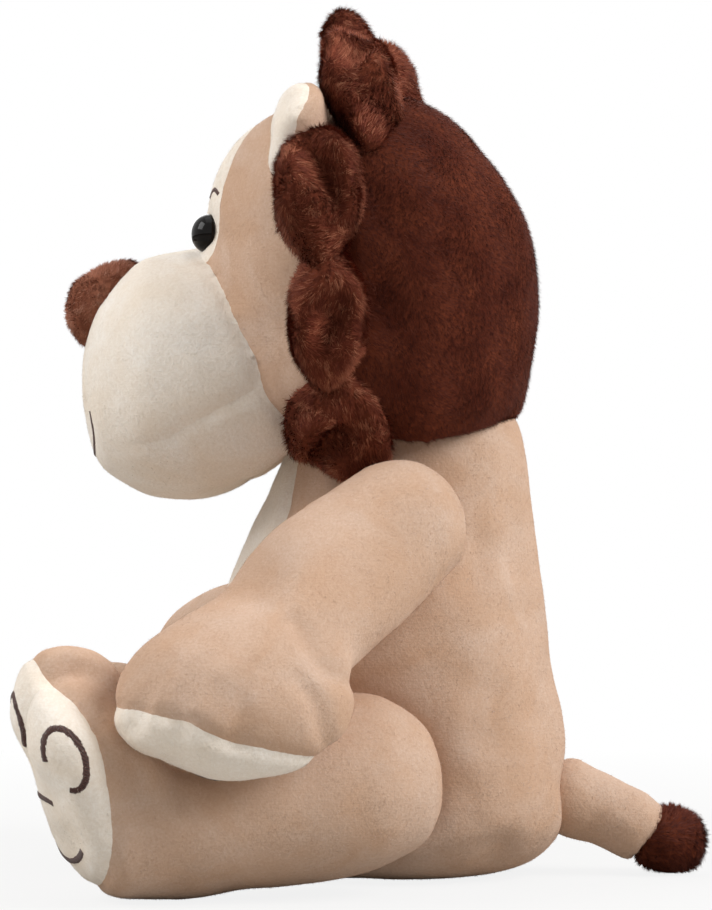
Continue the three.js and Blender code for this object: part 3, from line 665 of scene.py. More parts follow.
head = {
    "nodes": ["head_back_left", "head_back_right", "face_panel_left", "face_panel_right", "forehead_panel",
              "head_stuffing", "muzzle_panel", "chin_panel", "muzzle_stuffing"],
    "voxel": 3.0,
    "rounds": 14,
    "swell": 0.0,
    "maneSeam": -20,
    "foreheadHalf": (25, 190, 20, 248),  # half width at one height and at another
    "foreheadLap": 0.5,  # mm that the forehead runs in under the mane's seam
    # lines seen from the side, as y and z
    "muzzleSeam": [(-75, 230), (-66, 199), (-62, 193), (-57, 184), (-52.9, 174.4), (-46.6, 162), (-43.5, 151),
                   (-36.6, 142), (-30, 132), (-20, 110)],
    "chinSeam": [(-130, 137), (-92, 136), (-76.2, 137), (-69.5, 140.4), (-55.8, 148), (-45.7, 153.6),
                 (-20, 170)],
    "pulls": [
        # place, reach and move
        ((0, -40, 246), 34, (0, 4.5, -5)), ((0, 28, 232), 42, (0, -3.5, -3)),
        ((0, 46, 205), 30, (0, -2, 0)), ((0, 4, 250), 26, (0, 0, -2)), ((0, 42, 150), 34, (0, -2, 0)),
        ((0, -96, 126), 26, (0, -1, -2)), ((0, -68, 124), 24, (0, 0, -2.5)), ((0, -46, 130), 24, (0, 1, 3)),
        ((0, 36, 142), 26, (0, -1, -2.5)), ((40, 10, 140), 26, (0, 0, -3)),
        ((-40, 10, 140), 26, (0, 0, -3)),
    ],
    "neckBall": (np.array([0, 0, 100]), 57),  # the middle and reach of the part that isn't puffed
    "seamDepth": 1.5,
    "seamWidth": 2.4,
    "chinShare": 0.7,
    "chinFrom": (3, 5),  # mm inside the muzzle's seam where its own seam begins, and the length of that
    "chinFade": (-90, 18),  # y where the chin's seam begins to show, and the length of its fading in
}


def maneField(rows):
    return rows[:, 1] - head["maneSeam"]


def muzzleField(rows):
    return besideLine(rows[:, 1:], head["muzzleSeam"])


def chinField(rows):
    return besideLine(rows[:, 1:], head["chinSeam"])


def foreheadField(rows):
    x, y, z = rows.T
    low, lowHeight, high, highHeight = head["foreheadHalf"]
    half = low + (high - low) * (z - lowHeight) / (highHeight - lowHeight)
    return np.maximum(np.abs(x) - half, y - head["maneSeam"] - head["foreheadLap"])


# The seam of the chin is a fine line that fades out towards the mouth
def headShare(rows):
    inMuzzle = ramp(-muzzleField(rows), *head["chinFrom"])
    return 1 - inMuzzle * (1 - head["chinShare"] * ramp(rows[:, 1], *head["chinFade"]))


def headPanelAt(rows):
    side = np.where(rows[:, 0] > 0, "Left", "Right")
    names = np.char.add("facePanel", side)
    names = np.where(foreheadField(rows) < 0, "foreheadPanel", names)
    names = np.where(maneField(rows) > 0, np.char.add("headBack", side), names)
    inMuzzle = muzzleField(rows) < 0
    names = np.where(inMuzzle, "muzzlePanel", names)
    return np.where(inMuzzle & (chinField(rows) < 0), "chinPanel", names)


skin = skinOver("headSkin", head)
pull(skin, head["pulls"])
rows = pointsOf(skin) / mm
seamFar = np.minimum(np.abs(maneField(rows)), np.abs(muzzleField(rows)))
middle, reach = head["neckBall"]
inBall = np.linalg.norm(rows - middle, axis=1) < reach
held = np.maximum(seamHold(seamFar), inBall)
puff(skin, held, 1.6)
panels = sewPanels(skin, [muzzleField, maneField, chinField, foreheadField, middleField], headPanelAt, head,
                   headShare)
finishPanels(panels, "head", [
    ("headBackLeft", "brown", ["head_back_left", "head_stuffing"]),
    ("facePanelLeft", "beige", ["face_panel_left"]),
    ("headBackRight", "brown", ["head_back_right"]),
    ("facePanelRight", "beige", ["face_panel_right"]),
    ("foreheadPanel", "cream", ["forehead_panel"]),
    ("muzzlePanel", "cream", ["muzzle_panel", "muzzle_stuffing"]),
    ("chinPanel", "cream", ["chin_panel"]),
])
print("head sewn")


# Draws a soft valley into a skin where some distance in mm is small, on the part that the mask leaves
def crease(obj, far, depth, width, mask=1.0):
    draw = depth * np.exp(-((far / width) ** 2)) * mask
    setPoints(obj, pointsOf(obj) - normalsOf(obj) * (draw * mm)[:, None])


arm = {
    "nodes": ["arm_left_cover", "arm_left_palm", "arm_left_stuffing"],
    "voxel": 2.8,
    "rounds": 12,
    "swell": 0.5,
    "pulls": [
        # place, reach and move
        ((56, 0, 122), 30, (3, 1, 4)), ((92, -46, 92), 34, (1, 4, -7)), ((90, -50, 98), 22, (0, 2.5, -3)),
        ((104, -84, 70), 38, (0, -4, -9)), ((104, -34, 52), 30, (2, 10, -3)),
        ((96, -10, 74), 26, (0, 2, 1)), ((100, -22, 62), 24, (0, 5, 0)), ((100, -66, 44), 26, (0, 0, -1)),
    ],
    "rightPulls": [((-100, -66, 66), 48, (0, 0, 5))],  # the right hand is held a little higher
    # seen from the side, as y and z
    "palmSeam": [(-130, 61), (-85, 59), (-73.5, 57.4), (-63.5, 55), (-55.4, 51), (-43.4, 47.7), (-31.4, 44.7),
                 (-26, 44), (-18, 47), (-10, 52)],
    "fingers": [[(-70, 74), (-76, 64), (-80, 54)], [(-54, 77), (-61, 73), (-67, 61), (-66, 52)],
                [(-44, 72), (-47.5, 64), (-50, 50)], [(-32, 68), (-27, 60), (-24, 48)]],
    "fingerDepth": 1.5,
    "fingerWidth": 3.0,
    "fingerFace": (84, 10),  # x where the creases between the fingers begin, and how far they fade in
    "fingerTop": (80, 16),  # height where they run out, and the length of that
    "wrist": [(-34, 84), (-30, 78), (-26.7, 72.5), (-22.7, 69), (-14, 65)],
    "wristDepth": 1.6,
    "wristWidth": 3,
    "wristFace": (74, 16),
    "shoulder": 65.75,  # up to this far along the shoulder, the cloth isn't puffed
    "seamDepth": 1.3,
    "seamWidth": 2.2,
}


def palmField(rows):
    return besideLine(rows[:, 1:], arm["palmSeam"])


skin = skinOver("armSkin", arm)
pull(skin, arm["pulls"])
rows = pointsOf(skin) / mm
held = np.maximum(seamHold(palmField(rows)), rows @ shoulderOut < arm["shoulder"])
puff(skin, held, 1.5)
top, fading = arm["fingerTop"]
for line in arm["fingers"]:
    rows = pointsOf(skin) / mm
    outer = ramp(rows[:, 0], *arm["fingerFace"]) * ramp(-rows[:, 2], -top, fading)
    crease(skin, besideLine(rows[:, 1:], line), arm["fingerDepth"], arm["fingerWidth"], outer)
rows = pointsOf(skin) / mm
outer = ramp(rows[:, 0], *arm["wristFace"])
crease(skin, besideLine(rows[:, 1:], arm["wrist"]), arm["wristDepth"], arm["wristWidth"], outer)
panels = sewPanels(skin, [palmField], twoPanels(palmField, "armLeftPalm", "armLeftCover"), arm)
armParts = [("Cover", "beige", ["cover", "stuffing"]), ("Palm", "cream", ["palm"])]
finishPair("arm", panels, armParts, arm["rightPulls"])
print("arms sewn")

leg = {
    "nodes": ["leg_left_cover", "leg_left_sole", "leg_left_stuffing"],
    "voxel": 2.8,
    "rounds": 12,
    "swell": 0.5,
    "pulls": [
        ((78, -116, 62), 36, (-1, -6, 4)), ((80, -98, 74), 26, (0, 3, 6)), ((80, -88, 66), 22, (0, 2, 4)),
        ((98, -104, 56), 24, (3, -4, 2)), ((102, -98, 44), 24, (4, 1, 0)), ((86, -114, 40), 26, (0, -3, 0)),
        ((86, -96, 10), 30, (0, 6, 0)), ((80, -70, 58), 24, (0, -3, -4)),
    ],
    "rightPulls": [((-80, -106, 74), 48, (0, -3, -13))],  # the right foot's toes droop a little
    "soleAt": np.array([80, -106, 36.5]),  # middle of the sole
    "run": (0.2265, -0.974),  # the way that the foot points, seen from above
    "lean": 24,  # degrees that the top of the sole leans forwards
    # where the cream begins: forwards from the middle of the sole, and height
    "soleSeam": [(-13.4, -20), (-13.4, 5), (-14.5, 22), (-11.7, 44), (-8.6, 54), (-4.6, 60), (0, 64),
                 (5.4, 71), (12, 90)],
    "rimRise": 7,  # how far the underside of the thigh lifts off the floor
    "rimHeight": 32,  # below this height
    "rimRun": (-62, 54),  # y where that begins, and the length over which it grows
    "still": (41, 2),  # up to this x and below this height, the cloth isn't puffed
    "toeGaps": (-9, 9),  # sideways from the middle of the sole
    "gapUp": (4, 12),  # up the sole, where the gaps begin, and the length over which they deepen
    "gapOut": (-34, 16),  # the same outwards from the sole
    "gapSpread": (0.012, 40),  # share by which a gap lies farther out for each mm up, and the last mm
    "toeDepth": 5.0,
    "toeWidth": 3.6,
    # sideways, up, reach and rise of the swelling of each toe and of the ball of the foot
    "toeRound": 0.75,  # share of the reach within which most of it lies
    "toeOut": (-16, 10),  # out from the sole where it begins, and the length over which it grows
    "toes": [(-19, 11, 12, 2.6), (0, 21, 12, 2.6), (20, 9, 13, 3.4), (0, -16, 20, 2.6)],
    "seamDepth": 1.3,
    "seamWidth": 2.2,
}
turn = math.radians(leg["lean"])
soleFacing = np.array([leg["run"][0] * math.cos(turn), leg["run"][1] * math.cos(turn), -math.sin(turn)])
soleUp = np.array([leg["run"][0] * math.sin(turn), leg["run"][1] * math.sin(turn), math.cos(turn)])
soleSide = np.array([-leg["run"][1], leg["run"][0], 0])


# Places on the sole: sideways, up and out from its middle
def onSole(rows):
    away = rows - leg["soleAt"]
    return away @ soleSide, away @ soleUp, away @ soleFacing


def soleField(rows):
    forwards = (rows - leg["soleAt"])[:, :2] @ np.array(leg["run"])
    return besideLine(np.column_stack([forwards, rows[:, 2]]), leg["soleSeam"])


skin = skinOver("legSkin", leg)
pull(skin, leg["pulls"])
setDown(skin)
rows = pointsOf(skin) / mm
lift = ramp(rows[:, 1], *leg["rimRun"]) * np.clip(1 - rows[:, 2] / leg["rimHeight"], 0, 1)
rows[:, 2] += leg["rimRise"] * lift
setPoints(skin, rows * mm)
hip, ground = leg["still"]
still = (rows[:, 0] < hip) | (rows[:, 2] < ground)
puff(skin, np.maximum(seamHold(soleField(rows)), still), 1.5)
for gap in leg["toeGaps"]:
    side, up, out = onSole(pointsOf(skin) / mm)
    toeTop = ramp(up, *leg["gapUp"]) * ramp(out, *leg["gapOut"])
    spread, last = leg["gapSpread"]
    far = side - gap * (1 + spread * np.clip(up, 0, last))
    crease(skin, far, leg["toeDepth"], leg["toeWidth"], toeTop)
for toeSide, toeUp, reach, rise in leg["toes"]:
    side, up, out = onSole(pointsOf(skin) / mm)
    far = np.hypot(side - toeSide, up - toeUp) / reach
    crease(skin, far, -rise, leg["toeRound"], ramp(out, *leg["toeOut"]))
setDown(skin)
panels = sewPanels(skin, [soleField], twoPanels(soleField, "legLeftSole", "legLeftCover"), leg)
legParts = [("Cover", "beige", ["cover", "stuffing"]), ("Sole", "cream", ["sole"])]
finishPair("leg", panels, legParts, leg["rightPulls"])
print("legs sewn")

ear = {
    "nodes": ["ear_left_inner", "ear_left_back"],
    "voxel": 1.3,
    "rounds": 24,
    "swell": 1.6,
    "seam": -36,
    "thick": 1.3,
    "pulls": [
        ((42, -36, 224), 18, (-4, 1, -4)), ((52, -36, 236), 30, (0, 2, -1)),
        ((52, -36, 236), 20, (0, 3, 0)), ((62, -36, 246), 16, (0, 4, -2)),
    ],
    "seamDepth": 0.6,
    "seamWidth": 1.6,
    "fill": 0.6,
}


def earField(rows):
    return rows[:, 1] - ear["seam"]


skin = skinOver("earSkin", ear)
rows = pointsOf(skin) / mm
rows[:, 1] = ear["seam"] + (rows[:, 1] - ear["seam"]) * ear["thick"]
setPoints(skin, rows * mm)
panels = sewPanels(skin, [earField], twoPanels(earField, "earLeftInner", "earLeftBack"), ear)
for panel in panels.values():
    pull(panel, ear["pulls"])
finishPair("ear", panels, [("Inner", "cream", ["inner"]), ("Back", "beige", ["back"])])
print("ears sewn")

tail = {"nodes": ["tail_cover", "tail_stuffing"], "voxel": 1.8, "rounds": 10, "swell": 0.5,
        "pulls": [((0, 72, 20), 26, (0, 0, -6))]}
tuft = {"nodes": ["tail_tuft"], "voxel": 1.6, "rounds": 10, "swell": -0.3,
        "pulls": [((0, 88, 14), 40, (0, 0, -1))]}
nose = {"nodes": ["nose"], "voxel": 1.8, "rounds": 8, "swell": 1.0,
        "pulls": [((0, -100, 178), 30, (0, 1.5, -2.5))]}
for name, look, colour, body in [("tailCover", tail, "beige", "tail"), ("tailTuft", tuft, "brown", "tail"),
                                 ("noseSkin", nose, "nose", "head")]:
    pieces[name] = skinOver(name, look)
    pull(pieces[name], look["pulls"])
    if name == "tailTuft":
        setDown(pieces[name])
    shadeSmooth(pieces[name])
    finish(pieces[name], plush[colour], body, look["nodes"])

eyes = {"radius": 6.2, "rise": 5.4, "sink": 1.6, "stand": 1.2}
for side in ("left", "right"):
    low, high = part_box("eye_washer_" + side)
    washer = (low + high) / 2
    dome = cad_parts["eye_" + side]
    apex = max((v.co for v in dome.data.vertices), key=lambda place: (place - washer).length)
    facing = (apex - washer).normalized()
    deselect()
    bpy.ops.mesh.primitive_uv_sphere_add(segments=40, ring_count=20, radius=eyes["radius"] * mm)
    button = bpy.context.object
    button.name = "eye" + side.title()
    rows = pointsOf(button)
    rows[:, 2] = np.where(rows[:, 2] > 0, rows[:, 2] * eyes["rise"] / eyes["radius"],
                          rows[:, 2] * eyes["sink"] / eyes["radius"])
    turn = np.array(facing.to_track_quat("Z", "Y").to_matrix())
    seat = np.array(apex - facing * (eyes["rise"] - eyes["stand"]) * mm)
    setPoints(button, rows @ turn.T + seat)
    shadeSmooth(button)
    finish(button, acrylic, "head", ["eye_" + side])
    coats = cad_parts["eye_washer_" + side].data.materials
    coats.clear()
    coats.append(polythene)
print("tail, nose and eyes made")

mane = {
    "lobes": 9,
    "start": -44,  # degrees from the lion's left, round the face
    "step": 33.5,
    "middle": (0, -20, 195),
    "ring": 60,
    "lean": 6,  # how much farther back the top of the ring lies
    "slide": (-9, -9, -9, -5, 0, -2, -9, -9, -9),  # mm down the ring from the solid's middle
    "forward": (-3, 5, 9, 0, 1, -5, 5, 4, -3),  # mm towards the face
    "lift": (2, 0, 0, 0, -2, 6, 0, 0, 2),  # mm that the tip stands farther out
    "root": (5, 4, -14),  # mm that the inner part sinks in the head, from one distance out to another
    "thick": (1.5, 0.95, 1.06, 0.9, 0.72, 1.2, 1.0, 0.95, 1.5),  # share of the solid's own depth
    "tip": 0.32,  # how far the tips at the top nod forwards, as a share of their height
    "widen": 1.36,  # along the ring, so that neighbours run into each other
    "pinch": (9, 24, 0.4),  # from this far along the ring to that far, a lobe narrows by this share
    "pinchFrom": -8,  # mm out, the depth towards which it narrows
    "foldHalf": 17,  # mm along the ring to where a fold runs out
    "foldTurn": 0.35,  # how far it runs round the tip of a lobe
    "lumps": (9, 1.6),  # size and height of the unevenness in mm
    "voxel": 1.9,
    "rounds": 6,
    "swell": 0.8,
    # folds of each lobe: place through the ring in mm, slant along it, depth and half width
    "folds": [(-3, 0.5, 12, 5), (3, 0.3, 10, 5), (2, -0.35, 12, 5), (3, 0.15, 9, 4.5), (-5, 0.1, 4, 3.5),
              (5, 0.2, 5, 3.5), (2, 0.35, 12, 5), (3, -0.3, 10, 5), (-3, -0.5, 12, 5)],
}


def maneFrame(lobe):
    turn = math.radians(mane["start"] + (lobe - 1) * mane["step"])
    outwards = np.array([math.cos(turn), 0, math.sin(turn)])
    along = np.array([-math.sin(turn), 0, math.cos(turn)])
    middle = np.array(mane["middle"]) + outwards * mane["ring"]
    middle[1] += mane["lean"] * math.sin(turn)
    return middle, outwards, along


for lobe in range(1, mane["lobes"] + 1):
    node = "mane_lobe_" + str(lobe)
    puffed = skinOver("maneLobe" + str(lobe), {**mane, "nodes": [node]})
    middle, outwards, along = maneFrame(lobe)
    rows = pointsOf(puffed) / mm - middle
    rows += np.outer(rows @ along, along) * (mane["widen"] - 1)
    rows[:, 1] *= mane["thick"][lobe - 1]
    near, far, narrow = mane["pinch"]
    share = ramp(np.abs(rows @ along), near, far - near)
    slim = 1 - narrow * share ** 2 * (3 - 2 * share)
    rows[:, 1] *= slim
    rows -= np.outer((rows @ outwards - mane["pinchFrom"]) * (1 - slim), outwards)
    sink, shallow, deep = mane["root"]
    inner = ramp(-(rows @ outwards), -shallow, shallow - deep)
    rows += np.outer(mane["lift"][lobe - 1] * (1 - inner) - sink * inner, outwards)
    place, slant, depth, half = mane["folds"][lobe - 1]
    across = rows[:, 1] - place - slant * (rows @ along)
    inside = np.clip(1 - ((rows @ along) / mane["foldHalf"]) ** 2, 0, 1)
    facingOut = np.clip(normalsOf(puffed) @ outwards + mane["foldTurn"], 0, 1)
    rows -= np.outer(depth * np.exp(-((across / half) ** 2)) * inside * facingOut, outwards)
    size, height = mane["lumps"]
    lumps = np.array([noise.noise(Vector(row) / size) for row in rows + middle])
    rows += normalsOf(puffed) * (height * lumps)[:, None]
    down = 1 if along[2] > 0 else -1
    rows += along * down * mane["slide"][lobe - 1]
    rows[:, 1] -= mane["forward"][lobe - 1] + mane["tip"] * outwards[2] ** 3 * (rows @ outwards)
    setPoints(puffed, (rows + middle) * mm)
    applyModifier(puffed, "SMOOTH", factor=0.5, iterations=6)
    shadeSmooth(puffed)
    finish(puffed, plush["brown"], "head", [node])
    pieces["maneLobe" + str(lobe)] = puffed
print("mane made")

# Cut pile: single strands that stand out of the cloth, lean along the nap and gather into small tufts.
# Strands in a square mm, length, width and tufts in mm, and the lean off the cloth's normal in degrees
longPile = {"slot": "brown_plush", "perMm": 5.4, "spread": 12, "gather": 0.4}
manePile = {**longPile, "colour": "mane", "body": "head", "length": 2.4, "width": 0.28, "lean": 62,
            "swirl": 1.0, "tuft": 2.8}
piles = {
    "headPile": {**longPile, "skins": ["headBackLeft", "headBackRight"], "colour": "brown", "body": "head",
                 "perMm": 6.0, "length": 2.0, "width": 0.24, "lean": 76, "nap": (0, 0.6, -1), "swirl": 0.4,
                 "tuft": 2.0, "gather": 0.15, "seed": 11},
    "manePileLeft": {**manePile, "skins": ["maneLobe" + str(lobe) for lobe in range(1, 6)],
                     "nap": (0.3, 0.4, -0.6), "seed": 12},
    "manePileRight": {**manePile, "skins": ["maneLobe" + str(lobe) for lobe in range(6, 10)],
                      "nap": (-0.3, 0.4, -0.6), "seed": 13},
    "nosePile": {**longPile, "skins": ["noseSkin"], "colour": "nose", "slot": "nose_plush", "body": "head",
                 "length": 1.4, "width": 0.26, "lean": 60, "nap": (0, 0.3, -1), "swirl": 0.8, "tuft": 2.2,
                 "seed": 14},
    "tuftPile": {**longPile, "skins": ["tailTuft"], "colour": "brown", "body": "tail", "length": 2.0,
                 "width": 0.28, "lean": 52, "nap": (0, 1, -0.3), "swirl": 0.8, "tuft": 2.6, "seed": 15},
}


# Points spread evenly over the triangles of some skins, with the way that the cloth faces there
def scatter(skins, perMm, chance):
    spots = []
    facings = []
    for skin in skins:
        mesh = skin.data
        mesh.calc_loop_triangles()
        corners = np.empty(len(mesh.loop_triangles) * 3, dtype=np.int64)
        mesh.loop_triangles.foreach_get("vertices", corners)
        corners = corners.reshape(-1, 3)
        places = pointsOf(skin)[corners]
        normals = normalsOf(skin)[corners]
        areas = np.linalg.norm(np.cross(places[:, 1] - places[:, 0], places[:, 2] - places[:, 0]), axis=1) / 2
        count = int(areas.sum() / mm ** 2 * perMm)
        chosen = chance.choice(len(areas), size=count, p=areas / areas.sum())
        share = chance.random((count, 2))
        folded = share.sum(1) > 1
        share[folded] = 1 - share[folded]
        weights = np.column_stack([1 - share.sum(1), share])
        spots.append(np.einsum("ij,ijk->ik", weights, places[chosen]))
        facings.append(np.einsum("ij,ijk->ik", weights, normals[chosen]))
    facing = np.concatenate(facings)
    return np.concatenate(spots), facing / np.linalg.norm(facing, axis=1)[:, None]


# A smooth wandering direction for every place, from a few waves of about the given length
def wander(spots, size, chance):
    rows = np.zeros_like(spots)
    for _ in range(5):
        wave = chance.normal(size=3)
        wave *= 2 * math.pi / size / np.linalg.norm(wave)
        phase = chance.random(3) * 2 * math.pi
        rows += np.sin((spots @ wave)[:, None] + phase)
    return rows / 2.2


# How unruly the strands are, as shares unless a line says otherwise
unruly = {
    "swirlSize": 22,  # mm over which the nap turns
    "stray": 0.22,  # of the direction of each strand
    "length": 0.18,
    "tuftEdge": (0.35, 9),  # how far the edges of the tufts wander, and over how many mm
    "twist": 0.5,
    "root": 0.25,  # mm below the face of the cloth
    "tone": (0.45, 0.55),  # how much of the shade each tuft has in common, and how much is the strand's own
    "sideLight": 0.5,  # how much the nap turns the light
    "glint": 0.14,
}
tuftCode = np.array([12.9898, 78.233, 37.719])  # turns the place of a tuft into a number without a pattern
tuftMix = 43758.5453


def growPile(name, look):
    chance = np.random.default_rng(look["seed"])
    spots, facing = scatter([pieces[skin] for skin in look["skins"]], look["perMm"], chance)
    count = len(spots)
    nap = np.array(look["nap"]) + look["swirl"] * wander(spots, unruly["swirlSize"] * mm, chance)
    nap += unruly["stray"] * chance.normal(size=(count, 3))
    nap -= (nap * facing).sum(1)[:, None] * facing
    nap /= np.linalg.norm(nap, axis=1)[:, None]
    lean = np.radians(look["lean"] + look["spread"] * chance.normal(size=count))[:, None]
    length = (look["length"] * mm * (1 + unruly["length"] * chance.normal(size=count)))[:, None]
    cell = look["tuft"] * mm
    edge, size = unruly["tuftEdge"]
    home = np.floor(spots / cell + edge * wander(spots, size * mm, chance))
    centre = (home + 0.5) * cell - spots
    centre -= (centre * facing).sum(1)[:, None] * facing
    tips = spots + length * (np.cos(lean) * facing + np.sin(lean) * nap) + look["gather"] * centre
    across = np.cross(facing, nap) + unruly["twist"] * np.cross(facing, chance.normal(size=(count, 3)))
    across *= look["width"] * mm / 2 / np.linalg.norm(across, axis=1)[:, None]
    roots = spots - unruly["root"] * mm * facing
    points = np.stack([roots + across, roots - across, tips], axis=1).reshape(-1, 3)
    points[:, 2] = np.maximum(points[:, 2], 0)
    mesh = bpy.data.meshes.new(name)
    mesh.vertices.add(3 * count)
    mesh.loops.add(3 * count)
    mesh.polygons.add(count)
    mesh.vertices.foreach_set("co", points.ravel())
    mesh.loops.foreach_set("vertex_index", np.arange(3 * count))
    mesh.polygons.foreach_set("loop_start", np.arange(count) * 3)
    shades = strands[look["colour"]]
    tuftShade = np.abs(np.sin(home @ tuftCode) * tuftMix) % 1
    shared, own = unruly["tone"]
    shade = (shared * tuftShade + own * chance.random(count)) * len(shades)
    mesh.polygons.foreach_set("material_index", np.clip(shade, 0, len(shades) - 1).astype(np.int32))
    for material in shades:
        mesh.materials.append(material)
    mesh.update(calc_edges=True)
    lit = np.repeat(facing + unruly["sideLight"] * nap * np.sin(lean), 3, axis=0)
    lit += unruly["glint"] * chance.normal(size=(3 * count, 3))
    mesh.normals_split_custom_set_from_vertices((lit / np.linalg.norm(lit, axis=1)[:, None]).tolist())
    pile = newObject(name, mesh)
    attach(pile, look["body"])
    print(name, count, "strands")


# The beige and cream cloth has a short brushed nap: its pile, the panels that carry it, their colour and body
shortNap = {"perMm": 1.8, "length": 1.1, "width": 0.15, "lean": 76, "spread": 6, "nap": (0, 0.4, -1),
            "swirl": 0.7, "tuft": 1.6, "gather": 0.15}
naps = [
    ("torsoNap", ["torsoPanelLeft", "torsoPanelRight"], "beige", "torso"),
    ("bellyNap", ["bellyPanel"], "cream", "torso"),
    ("faceNap", ["facePanelLeft", "facePanelRight"], "beige", "head"),
    ("muzzleNap", ["muzzlePanel", "chinPanel", "foreheadPanel"], "cream", "head"),
    ("tailNap", ["tailCover"], "beige", "tail"),
]
for side in ("Left", "Right"):
    for limb, over, under in (("arm", "Cover", "Palm"), ("leg", "Cover", "Sole"), ("ear", "Back", "Inner")):
        body = limb + "_" + side.lower()
        naps.append((limb + side + "Nap", [limb + side + over], "beige", body))
        naps.append((limb + side + under + "Nap", [limb + side + under], "cream", body))
for number, (name, skins, colour, body) in enumerate(naps):
    piles[name] = {**shortNap, "skins": skins, "colour": colour, "slot": colour + "_plush", "body": body,
                   "seed": 30 + number}
for name, look in piles.items():
    growPile(name, look)

# Embroidery: satin stitches side by side across a line, each a small arched cushion on the cloth
threads = {
    "pitch": 0.38,
    "rise": 0.5,
    "roundness": 0.7,  # share of its height that a stitch loses towards its sides
    "sink": 0.2,  # share of its height that lies in the cloth
    "uneven": 0.1,  # share by which the lengths of the stitches differ
    "slant": 0.25,  # pitches that one end of a stitch lies ahead of its middle
    "half": 0.55,  # pitches from the middle of a stitch to its side
    "throw": 40,  # mm off the cloth, where the rays start that seat the stitches
    # sideways, up, half sizes, first and last degree of each loop on the sole
    "soleLoops": [(29.5, 7, 5.8, 9.5, 170, -115), (0, 19, 7.5, 9, 165, -40), (-20, 9, 7.5, 9, 165, -100),
                  (0, -14, 18, 11, 50, 314)],
    "soleWidth": 2.2,
    # the palm's loops, as inwards and forwards from its middle
    "palmAt": np.array([87, -50, 40]),
    "palmLoops": [(0, -12, 9, 7, 40, 320), (-9, 8, 4, 4.5, 180, -120), (0, 12, 4, 4.5, 180, -120),
                  (9, 8, 4, 4.5, 180, -120)],
    "palmWidth": 1.8,
    # seen from the front: middle, half sizes, first and last degree of each arc
    "mouth": (0, 147, 19.5, 13.5, 180, 360),
    "mouthWidth": 1.5,
    "mouthAt": -100,  # y where the arc is thrown from
    "brow": (15, 212.5, 6.5, 4.5, 145, 35),
    "browWidth": 1.4,
    "browAt": -70,
}


def loopPoints(loop):
    halfSide, halfUp, first, last = loop
    turn = np.radians(np.linspace(first, last, 60))
    return np.column_stack([halfSide * np.cos(turn), halfUp * np.sin(turn)])


# Lays stitches along lines of points in mm that are thrown on to some skins in one direction
def embroider(name, lines, skins, width, body):
    rows = []
    faces = []
    for skin in skins:
        start = sum(len(part) for part in rows)
        rows.append(pointsOf(skin))
        faces += [[start + corner for corner in face.vertices] for face in skin.data.polygons]
    cloth = BVHTree.FromPolygons(np.concatenate(rows).tolist(), faces)
    chance = np.random.default_rng(21)
    cushion = np.array([[a, b] for a in (-1, -0.75, 0, 0.75, 1) for b in (-1, 0, 1)])
    height = np.clip(1 - cushion[:, 0] ** 4, 0, 1) * (1 - threads["roundness"] * cushion[:, 1] ** 2)
    height -= threads["sink"]
    grid = [(3 * a + b, 3 * a + b + 1, 3 * a + b + 4, 3 * a + b + 3) for a in range(4) for b in range(2)]
    points = []
    quads = []
    for line, towards in lines:
        run = np.concatenate([[0], np.cumsum(np.linalg.norm(np.diff(line, axis=0), axis=1))])
        steps = np.arange(0, run[-1], threads["pitch"])
        spots = np.column_stack([np.interp(steps, run, line[:, axis]) for axis in range(3)])
        starts = (spots - threads["throw"] * towards) * mm
        hits = [cloth.ray_cast(Vector(start), Vector(towards)) for start in starts]
        kept = [(np.array(hit[0]), np.array(hit[1])) for hit in hits if hit[0] is not None]
        seats = np.array([seat for seat, facing in kept])
        facings = np.array([facing for seat, facing in kept])
        facings *= np.where(facings @ towards > 0, -1, 1)[:, None]
        for _ in range(3):
            facings[1:-1] = (facings[:-2] + facings[1:-1] + facings[2:]) / 3
        along = np.gradient(seats, axis=0)
        along /= np.linalg.norm(along, axis=1)[:, None]
        across = np.cross(facings, along)
        half = width * mm / 2 * (1 + threads["uneven"] * chance.normal(size=len(seats)))
        for seat, facing, ahead, side, reach in zip(seats, facings, along, across, half):
            first = len(points)
            tilt = ahead * threads["slant"] * threads["pitch"] * mm
            for (a, b), up in zip(cushion, height):
                spot = seat + side * a * reach + tilt * a
                spot = spot + ahead * b * threads["half"] * threads["pitch"] * mm
                points.append(spot + facing * up * threads["rise"] * mm)
            quads += [[first + corner for corner in quad] for quad in grid]
    mesh = bpy.data.meshes.new(name)
    mesh.from_pydata([list(point) for point in points], [], quads)
    mesh.update()
    stitches = newObject(name, mesh)
    shadeSmooth(stitches)
    return finish(stitches, rayon, body, ())


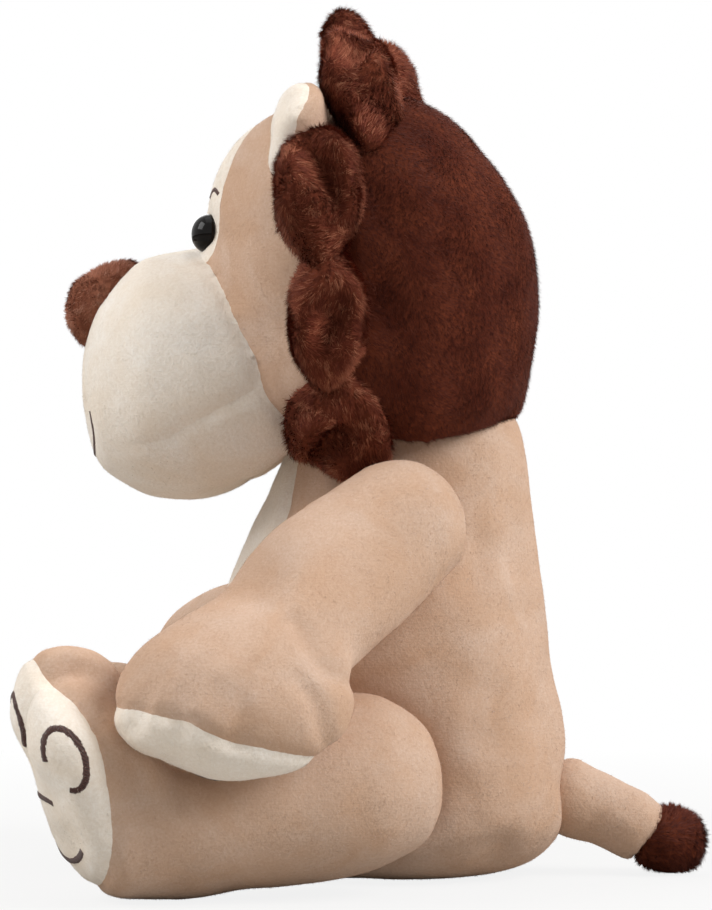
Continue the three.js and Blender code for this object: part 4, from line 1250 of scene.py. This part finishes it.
# A loop laid flat on a skin where a ray from its middle meets the cloth, and the way to throw it
def loopOn(skin, middle, towards, upwards, loop):
    seat, facing = skin.ray_cast(Vector((middle - threads["throw"] * towards) * mm), Vector(towards))[1:3]
    facing = np.array(facing if facing.dot(Vector(towards)) < 0 else -facing)
    up = upwards - (upwards @ facing) * facing
    up /= np.linalg.norm(up)
    spots = loopPoints(loop)
    line = np.array(seat) / mm + np.outer(spots[:, 0], np.cross(up, facing)) + np.outer(spots[:, 1], up)
    return line, -facing


# The lines of several loops round one place on a skin
def loopsOn(skin, place, sideways, upwards, facing, loops):
    return [loopOn(skin, place + side * sideways + up * upwards, -facing, upwards, loop)
            for side, up, *loop in loops]


sole = pieces["legLeftSole"]
soleLines = loopsOn(sole, leg["soleAt"], soleSide, soleUp, soleFacing, threads["soleLoops"])
soleStitches = embroider("soleStitchLeft", soleLines, [sole, pieces["legLeftCover"]],
                         threads["soleWidth"], "leg_left")
palm = pieces["armLeftPalm"]
palmFacing = np.array([-0.42, 0, -0.9075])
palmIn = np.array([-0.9075, 0, 0.42])
forwards = np.array([0, -1.0, 0])
palmLines = loopsOn(palm, threads["palmAt"], palmIn, forwards, palmFacing, threads["palmLoops"])
palmStitches = embroider("palmStitchLeft", palmLines, [palm, pieces["armLeftCover"]],
                         threads["palmWidth"], "arm_left")
for obj, name, body, moves in [(soleStitches, "soleStitchRight", "leg_right", leg["rightPulls"]),
                               (palmStitches, "palmStitchRight", "arm_right", arm["rightPulls"])]:
    twin = otherSide(obj, name)
    pull(twin, moves)
    finish(twin, rayon, body, ())
facePanels = ("muzzlePanel", "chinPanel", "facePanelLeft", "facePanelRight", "foreheadPanel")
face = [pieces[name] for name in facePanels]
x, z, *loop = threads["mouth"]
mouthLine = np.insert(loopPoints(loop) + (x, z), 1, threads["mouthAt"], axis=1)
embroider("mouthStitch", [(mouthLine, -forwards)], face, threads["mouthWidth"], "head")
x, z, *loop = threads["brow"]
browLine = np.insert(loopPoints(loop) + (x, z), 1, threads["browAt"], axis=1)
browLines = [(browLine * (side, 1, 1), -forwards) for side in (1, -1)]
embroider("browStitch", browLines, face, threads["browWidth"], "head")
print("embroidery laid")
